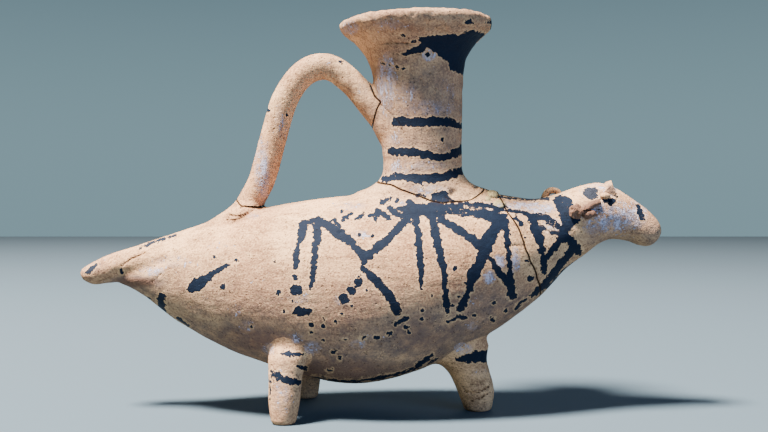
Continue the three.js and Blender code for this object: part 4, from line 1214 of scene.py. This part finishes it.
SOIL_AND_SHADE_BLOTS = [  # the same for brown soil stains, and for painted shade under the tail, the jaw and the forelock and low on the flanks
    (418, 118, 56, 84, 0.9), (415, 22, 70, 14, 0.7), (430, 42, 40, 8, 0.45), (423, 92, 20, 22, 0.55),
    # the last two: painted shade under the jaw and the throat
    (442, 128, 26, 10, 0.5), (448, 188, 14, 8, 0.6), (652, 236, 12, 14, 1), (612, 240, 34, 8, 0.9),
    (576, 212, 9, 8, 0.9), (592, 207, 12, 6, 0.8), (595, 230, 16, 7, 0.5), (560, 262, 18, 16, 0.35),
    # painted shade low on the flanks and along the belly
    (500, 300, 40, 18, 0.4), (430, 330, 50, 22, 0.35), (346, 372, 70, 12, 0.5), (240, 340, 50, 14, 0.35),
    # the first two: painted shade under the tail and on the forelock's lower face
    (136, 282, 26, 6, 1.3), (611, 188.6, 5, 4, 1.5), (95, 268, 14, 6, 0.4), (150, 292, 22, 8, 0.4),
    (285, 412, 16, 14, 0.4), (286, 388, 18, 34, 0.6), (634, 222, 22, 16, 0.7), (340, 70, 34, 16, 0.3),
    (270, 190, 14, 20, 0.35), (372, 110, 8, 30, 0.35), (312, 388, 12, 16, 0.8),
]
UNPAINTED = {  # the small parts: how much of the lime around it each one takes, and soil of its own
    "eye_right": (0.2, 0), "eye_left": (0.2, 0), "horn_right": (0.1, 1.7), "horn_left": (0.6, 0),
    "forelock": (0.5, 0.4), "fill_ridge": (0.3, 0.6), "fill_wedge": (0.3, 0.7), "fill_chip": (0.8, 0.6),
}
BELLY_SHADE = 0.95  # painted shade: darker towards the belly, from LOW_FROM down
LOW_FROM, LOW_TO = 72 * MM, 30 * MM
print("blots", len(LIME) + len(SOIL_AND_SHADE_BLOTS))

# %% [markdown]
# How far a point lies from the nearest stroke can be worked out at the points alone: the mesh is fine
# enough. The far side's painting drifts a little from the near one's and is more worn. A crease counts
# as a break that lies further off the shallower it is, so its groove gets a fainter brown: painted shade.

# %% Slip and breaks near a point
NONE_NEAR = 6  # millimetres, more than any stroke's edge is followed
FAR_SIDE_FADE = 6 * MM
FAR_SIDE_DRIFT, DRIFT_SIZE = 7, 24 * MM  # the first in pixels
FAR_SIDE_WEAR = 0.25
BLOT_EDGE, BLOT_SOFTNESS = 1.25, 0.75
TURNED_AWAY = -0.3  # a wall that faces the vessel's middle this much is inside, and bare
BREAK_REACH = 3 * MM
CREASE_SHADE = 0.06 * MM  # how far away a crease of 1 mm seems
BACK_FROM, ROOT_BEFORE, ROOT_REACH = 70 * MM, -30 * MM, 14 * MM  # where the breaks on the back lie
JOIN_BOX = (-6, 8), (114, 136)  # millimetres of x and z round the handle's upper break


def spread(at, blots):
    """The strongest of some soft oval blots at points of the picture."""
    total = np.zeros(len(at))
    for x, y, across, up, strength in blots:
        gap = np.hypot((at[:, 0] - x) / across, (at[:, 1] - y) / up)
        total = np.maximum(total, strength * smooth(BLOT_EDGE - gap * BLOT_SOFTNESS))
    return total


def painted(points, outward):
    """Millimetres from the nearest stroke's edge, negative in it, and that stroke's wear and fading."""
    at = pixels(folded(points))
    far_side = smooth(points[:, 1:2] / FAR_SIDE_FADE)
    drift = np.c_[noise(points, DRIFT_SIZE, 81), noise(points, DRIFT_SIZE, 83)]
    at = at + far_side * drift * FAR_SIDE_DRIFT
    rows = [(from_line(at, line), worn, FADED.get(name, 0)) for name, (line, worn) in STROKES.items()]
    rows += [(from_line(at, line) - DASH_SPREAD, DASH_WEAR, 0) for line in FLANK_DASHES.values()]
    rows += [(np.hypot(*(at - (x, y)).T) - max(radius, SMALLEST), SPOT_WEAR, 0) for x, y, radius in SPOTS]
    for name, (corners, worn) in PATCHES.items():
        gap = from_patch(at, corners)
        if name == "rim_blot":
            gap = np.maximum(gap, BARE_CHIP[2] - np.hypot(*(at - BARE_CHIP[:2]).T))
        rows.append((gap, worn, FADED.get(name, 0)))
    edge, wear, fading = np.full(len(at), np.inf), np.zeros(len(at)), np.zeros(len(at))
    for gap, worn, faded in rows:
        closer = gap < edge
        edge[closer], wear[closer], fading[closer] = gap[closer], worn, faded
    edge = np.clip(edge * PIXEL / MM, -NONE_NEAR, NONE_NEAR)
    edge[outward[:, 1] * np.sign(points[:, 1]) < TURNED_AWAY] = NONE_NEAR
    return edge, np.clip(wear + FAR_SIDE_WEAR * far_side[:, 0] + spread(at, RUBBED), 0, 1), fading


def from_breaks(points):
    """Millimetres from the nearest break, or about that from a crease."""
    x, y, z = points.T
    over_back = z > BACK_FROM
    at_root = over_back & (x < ROOT_BEFORE) & (np.abs(y) < ROOT_REACH)
    gaps = [
        np.abs(x - across_breast(y, z)),
        np.where(over_back & (np.hypot(x - FOOT_X, y) < NECK_REACH), np.abs(z - round_neck(x, y)), 1),
        np.where(at_root, np.abs(z - under_handle(x, y)), 1),
    ]
    seen = pixels(points)
    # creases count as shallow breaks, so their grooves get painted shade
    for line, _, depth in CREASES:
        gaps.append(np.where(y < 0, from_line(seen, line) * PIXEL + CREASE_SHADE / depth, 1))
    side = points[:, [0, 2]] / MM
    (left, right), (low, high) = JOIN_BOX
    on_handle = ((side > (left, low)) & (side < (right, high))).all(axis=1)
    gaps.append(np.where(on_handle, from_line(side, HANDLE_BREAK) * MM, 1))
    return np.minimum(np.min(gaps, axis=0), BREAK_REACH) / MM


print("slip, breaks and", len(CREASES), "creases can be measured")

# %% [markdown]
# The numbers are kept on each piece's points under plain names, which the finishes read.

# %% Numbers on the points
for name, piece in pieces.items():
    points = read(piece.data)[0]
    outward = np.empty(len(points) * 3, np.float32)
    piece.data.vertices.foreach_get("normal", outward)
    edge, wear, fading = painted(points, outward.reshape(-1, 3))
    if name in UNPAINTED:
        edge = edge + NONE_NEAR
    lime_share, own_soil = UNPAINTED.get(name, (1, 0))
    seen = pixels(folded(points))
    soil = np.maximum(spread(seen, SOIL_AND_SHADE_BLOTS), own_soil)
    # painted shade: the body, not the legs, grows darker towards the belly
    if name not in LEGS:
        soil = soil + BELLY_SHADE * smooth((LOW_FROM - points[:, 2]) / (LOW_FROM - LOW_TO))
    numbers = {"slip": edge, "wear": wear, "fading": fading, "lime": spread(seen, LIME) * lime_share,
               "soil": soil, "crack": from_breaks(points)}
    for number, values in numbers.items():
        layer = piece.data.attributes.new(number, "FLOAT", "POINT")
        layer.data.foreach_set("value", values.astype(np.float32))
print("painted", sum(len(piece.data.vertices) for piece in pieces.values()), "points")

# %% [markdown]
# The finishes share one recipe: a clay that changes slowly in colour, with grains and specks in it,
# soil and painted shade in grey-brown, a film of lime over it, slip where it was painted, a stain along
# each break and painted shade in each crease. Everything reads Object coordinates in millimetres or the
# numbers on the points, so nothing slides over the surface. Here are the colours, and a class that gives
# a material its noises, cells and mixes.

# %% Colours and a material's sockets
def shade(red, green, blue):
    """A colour as a screen shows it, 0 to 255, as the renderer needs it."""
    return tuple((value / 255) ** 2.2 for value in (red, green, blue)) + (1,)


CREAM, TAN, BROWN = shade(229, 183, 134), shade(188, 139, 102), shade(108, 76, 59)
SLIP_DARK, SLIP_WORN, SLIP_FADED = shade(3, 21, 37), shade(20, 33, 49), shade(40, 43, 52)
LIME_LIGHT = shade(170, 165, 181)
# the grey-brown below serves soil and painted shade alike
SOIL_AND_SHADE_BROWN, DIRT = shade(80, 73, 75), shade(34, 25, 26)
# a brown stain along the breaks, and painted shade in the creases
BREAK_STAIN_AND_CREASE_SHADE = shade(40, 22, 14)
SPECULAR_LEVEL, COAT_ROUGHNESS = 0.06, 0.8  # clay hardly shines, and the slip's gloss is faint
BUMP_DEPTH = 0.62 * MM


class Finish:
    """A material and the sockets that its recipe uses."""

    def __init__(self, name):
        self.material = bpy.data.materials.new(name)
        self.material.use_nodes = True
        tree = self.material.node_tree
        start = Wire(tree, tree.nodes.new("ShaderNodeTexCoord").outputs["Object"])
        self.at = start.node("ShaderNodeVectorMath", {"operation": "SCALE"}, _0=start, _3=1 / MM)
        self.on_neck = start.node("ShaderNodeSeparateXYZ", output=2, Vector=self.at).between(92, 100)

    def noise(self, size, detail=3.0, stretch=(1, 1, 1), hardness=0.55):
        """Noise with clouds of about size, in millimetres."""
        place = self.at.node("ShaderNodeVectorMath", {"operation": "MULTIPLY"}, _0=self.at, _1=stretch)
        return self.at.node(
            "ShaderNodeTexNoise", Vector=place, Scale=1 / size, Detail=detail, Roughness=hardness)

    def drawn(self, size, detail, on_body, up_neck, hardness):
        """Noise drawn out one way on the animal and another way on the neck."""
        along, upright = (self.noise(size, detail, stretch, hardness) for stretch in (on_body, up_neck))
        return along * (1.0 - self.on_neck) + upright * self.on_neck

    def specks(self, size, edge, core, group, none, all_of_them, detail=2.0):
        """Round specks that fade from core to edge, only where a slower noise groups them."""
        cells = self.at.node("ShaderNodeTexVoronoi", Vector=self.at, Scale=1 / size)
        return cells.between(edge, core) * self.noise(group, detail).between(none, all_of_them)

    def number(self, name):
        return self.at.node("ShaderNodeAttribute", {"attribute_name": name}, output=2)

    def layered(self, colour, *layers):
        """A colour with others laid over it, each with its share from 0 to 1."""
        rgb = {"data_type": "RGBA"}
        for share, other in layers:
            colour = self.at.node("ShaderNodeMix", rgb, output=2, _0=share, _6=colour, _7=other)
        return colour

    def done(self, **wires):
        """Feeds the shader's sockets, named as they are but with _ for a space."""
        tree = self.material.node_tree
        shader = tree.nodes["Principled BSDF"]
        for socket, wire in wires.items():
            tree.links.new(wire.socket, shader.inputs[socket.replace("_", " ")])
        shader.inputs["Specular IOR Level"].default_value = SPECULAR_LEVEL
        shader.inputs["Coat Roughness"].default_value = COAT_ROUGHNESS
        return self.material


# %% [markdown]
# The clay itself is cream and tan in broad clouds, brown where it was wiped with a wet hand, and grainy.
# Soil and painted shade turn it grey-brown, and above 1 brown right through: on the broken horn that is
# its own colour, under the tail, on the forelock and low on the belly it is painted shade. Then come
# freckles and pale grits, and lime: crusts where its noise is high, and a thin veil where there is much of
# it.

# %% Bare clay, soil, painted shade and lime
def bare_clay(look, specks, pale, yellow):
    """Clay with soil, painted shade and lime on it. It keeps on look what the bumps will need."""
    lime, soil = look.number("lime"), look.number("soil")
    broad = look.noise(38, 2.0).between(0.35, 0.65)
    patchy = look.noise(8, 5.0, (0.6, 1, 1.4), 0.6).between(0.4, 0.66)
    look.wiped = look.drawn(2.4, 4.0, (0.2, 0.8, 1), (1, 1, 0.2), 0.6)
    look.fine = look.noise(0.8, 4.0, hardness=0.65)
    film = look.drawn(2.3, 6.0, (1, 1, 1.1), (1.3, 1.3, 0.4), 0.72)
    look.covered = (film + look.noise(0.8, 3.0) * 0.5 + lime * 0.36).between(1.03, 1.09)
    veil = (lime * 1.6 - 0.75) * look.noise(2.6, 6.0, hardness=0.72).between(0.4, 0.58) * 0.8
    return look.layered(
        look.layered(TAN, (broad * 0.6 + pale, CREAM), *([(0.75, yellow)] if yellow else [])),
        (patchy * 0.45, BROWN),
        (look.wiped.between(0.5, 0.66) * 0.4, BROWN),
        (look.fine.between(0.5, 0.36) * 0.6, BROWN),
        (look.fine.between(0.52, 0.64) * 0.5, CREAM),
        # soil and painted shade: grey-brown where there is some, brown right through above 1
        ((soil * (look.noise(4.5, 5.0, hardness=0.66) * 1.6 - 0.1)).clamped() * 0.8, SOIL_AND_SHADE_BROWN),
        ((soil - 1.0).clamped(), BROWN),
        (look.specks(1.7, 0.22, 0.12, 6, 0.42, 0.54) * (0.7 * specks), DIRT),
        (look.specks(1.0, 0.2, 0.12, 9, 0.5, 0.64) * 0.6, CREAM),
        ((look.covered * 0.9).most(veil).clamped(), LIME_LIGHT),
    )


# %% [markdown]
# Slip lies where a point is inside a stroke. Noise of two sizes makes that edge ragged, and a third one
# flakes the slip off, more where it is worn. A pale rim runs round it and fine spatter lies near it.
# A faint coat makes the slip shine a little, which the bare clay doesn't. The bumps are sand, wiping
# marks, the thickness of slip and lime, holes, and the groove of each break.

# %% Painted clay
def fired_clay(name, specks=1.0, grain=1.0, pale=0.0, yellow=None):
    """Fired clay with soil and lime on it and slip where it was painted."""
    look = Finish(name)
    body = bare_clay(look, specks, pale, yellow)
    wear, crack, stroke = look.number("wear"), look.number("crack"), look.number("slip")
    ragged = (look.noise(0.8, 3.0) - 0.5) * 1.1 + (look.noise(2.0, 2.0) - 0.5) * 3.2
    edge = stroke + ragged
    flaked = look.noise(0.7, 4.0, hardness=0.7) * 0.6 + look.noise(2.1, 3.0) * 0.4 + wear * 0.4
    slip = (edge.between(0.1, -0.1) * flaked.between(0.79, 0.73) * 1.02).clamped()
    spatter = look.specks(0.95, 0.3, 0.22, 4.5, 0.53, 0.6) * stroke.between(3.4, 1.2) * 0.85
    tone = look.noise(1.7, 4.0).between(0.42, 0.75) * 0.4 + wear * 0.35
    slip_colour = look.layered(SLIP_DARK, (tone.clamped(), SLIP_WORN), (look.number("fading"), SLIP_FADED))
    # a brown stain along each break and painted shade in each crease, with a softer halo round both
    stain_and_crease_shade = crack.between(0.55, 0.15)
    halo = crack.between(1.8, 0.3) * look.noise(2.2, 3.0).between(0.45, 0.7) * 0.4
    colour = look.layered(
        body, (edge.between(0.8, 0.1) * 0.45, CREAM), (spatter, DIRT), (slip, slip_colour),
        ((stain_and_crease_shade * 0.95).most(halo), BREAK_STAIN_AND_CREASE_SHADE))

    sandy = look.noise(0.5, 2.0) * 0.4 + look.noise(2.2, 3.0, (0.5, 1, 1)) * 0.6
    holes = look.specks(2.9, 0.2, 0.08, 7, 0.5, 0.6, 1.0)
    height = sandy * grain + look.wiped * 0.5 + slip * 0.35 + look.covered * 0.35 - holes * 0.9 - stain_and_crease_shade * 0.6
    return look.done(
        Base_Color=colour, Roughness=0.92 - slip * 0.2 + look.fine * 0.05, Coat_Weight=slip * 0.24,
        Normal=height.node("ShaderNodeBump", Strength=1.0, Distance=BUMP_DEPTH, Height=height))


finishes = {
    "clay": fired_clay("painted_clay"),
    "crusted_clay": fired_clay("limed_clay", 0.6, 1.2),
    "broken_clay": fired_clay("rough_clay", 1.2, 1.8),
    "filler": fired_clay("repair_paste", 0.3, 1.4, 0.2, shade(216, 200, 132)),
}
print(len(finishes), "finishes")

# %% [markdown]
# Every piece stands for its solid of the model and rides on the vessel's one body.

# %% Pieces in place
SHARP_FROM = math.radians(42)  # an edge sharper than this stays sharp
slots = {part["node"]: part["material_slot"] for part in frame["record"]["subparts"]}
kept = [*pieces.values(), *frame["nodes"].values()]
for helper in list(bpy.data.objects):
    if helper.type == "MESH" and helper not in kept:
        bpy.data.objects.remove(helper)
for name, piece in pieces.items():
    piece.name = name + "_clay"
    piece.data.materials.clear()
    piece.data.materials.append(finishes[slots[name]])
    piece.data.shade_smooth()
    piece.data.set_sharp_from_angle(angle=SHARP_FROM)
    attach(piece, "root")
    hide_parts(name)
print(len(pieces), "pieces")

# %% [markdown]
# A plain pale floor, and soft light from above and the left, as in a photographer's tent.

# %% Floor and lights
FLOOR_COLOUR, FLOOR_ROUGHNESS = (0.066, 0.096, 0.118, 1), 0.9
BEHIND, ABOVE = (0.21, 0.33, 0.38, 1), (0.05, 0.09, 0.12, 1)  # the air's colour, low and high
LAMPS = {  # place in metres, width in metres, watts, colour
    "key": ((-1.12, -0.66, 2.6), 0.7, 720, (1, 0.96, 0.9)),
    "fill": ((0.7, -0.9, 0.3), 0.9, 8, (0.3, 0.5, 1)),
    "rear": ((0.2, 0.8, 0.7), 0.6, 1.6, (1, 1, 1)),
}
AIMED_AT = Vector((0, 0, 0.07))

floor_mesh = bpy.data.meshes.new("floor")
floor_mesh.from_pydata([(-3, -3, 0), (3, -3, 0), (3, 3, 0), (-3, 3, 0)], [], [(0, 1, 2, 3)])
new_object("floor", floor_mesh)
paper = bpy.data.materials.new("paper")
paper.use_nodes = True
sockets = paper.node_tree.nodes["Principled BSDF"].inputs
sockets["Base Color"].default_value = FLOOR_COLOUR
sockets["Roughness"].default_value = FLOOR_ROUGHNESS
floor_mesh.materials.append(paper)
for name, (place, size, power, colour) in LAMPS.items():
    light = bpy.data.lights.new(name, "AREA")
    light.shape, light.size, light.energy, light.color = "DISK", size, power, colour
    lamp = new_object(name, light)
    lamp.location = place
    lamp.rotation_euler = (AIMED_AT - Vector(place)).to_track_quat("-Z", "Y").to_euler()
world = bpy.data.worlds.new("air")
bpy.context.scene.world = world
world.use_nodes = True
ray = Wire(world.node_tree, world.node_tree.nodes.new("ShaderNodeTexCoord").outputs["Generated"])
rise = ray.node("ShaderNodeSeparateXYZ", output=2, Vector=ray).between(0.04, 0.4)
air = ray.node("ShaderNodeMix", {"data_type": "RGBA"}, output=2, _0=rise, _6=BEHIND, _7=ABOVE)
world.node_tree.links.new(air.socket, world.node_tree.nodes["Background"].inputs["Color"])
print(len(LAMPS), "lamps")
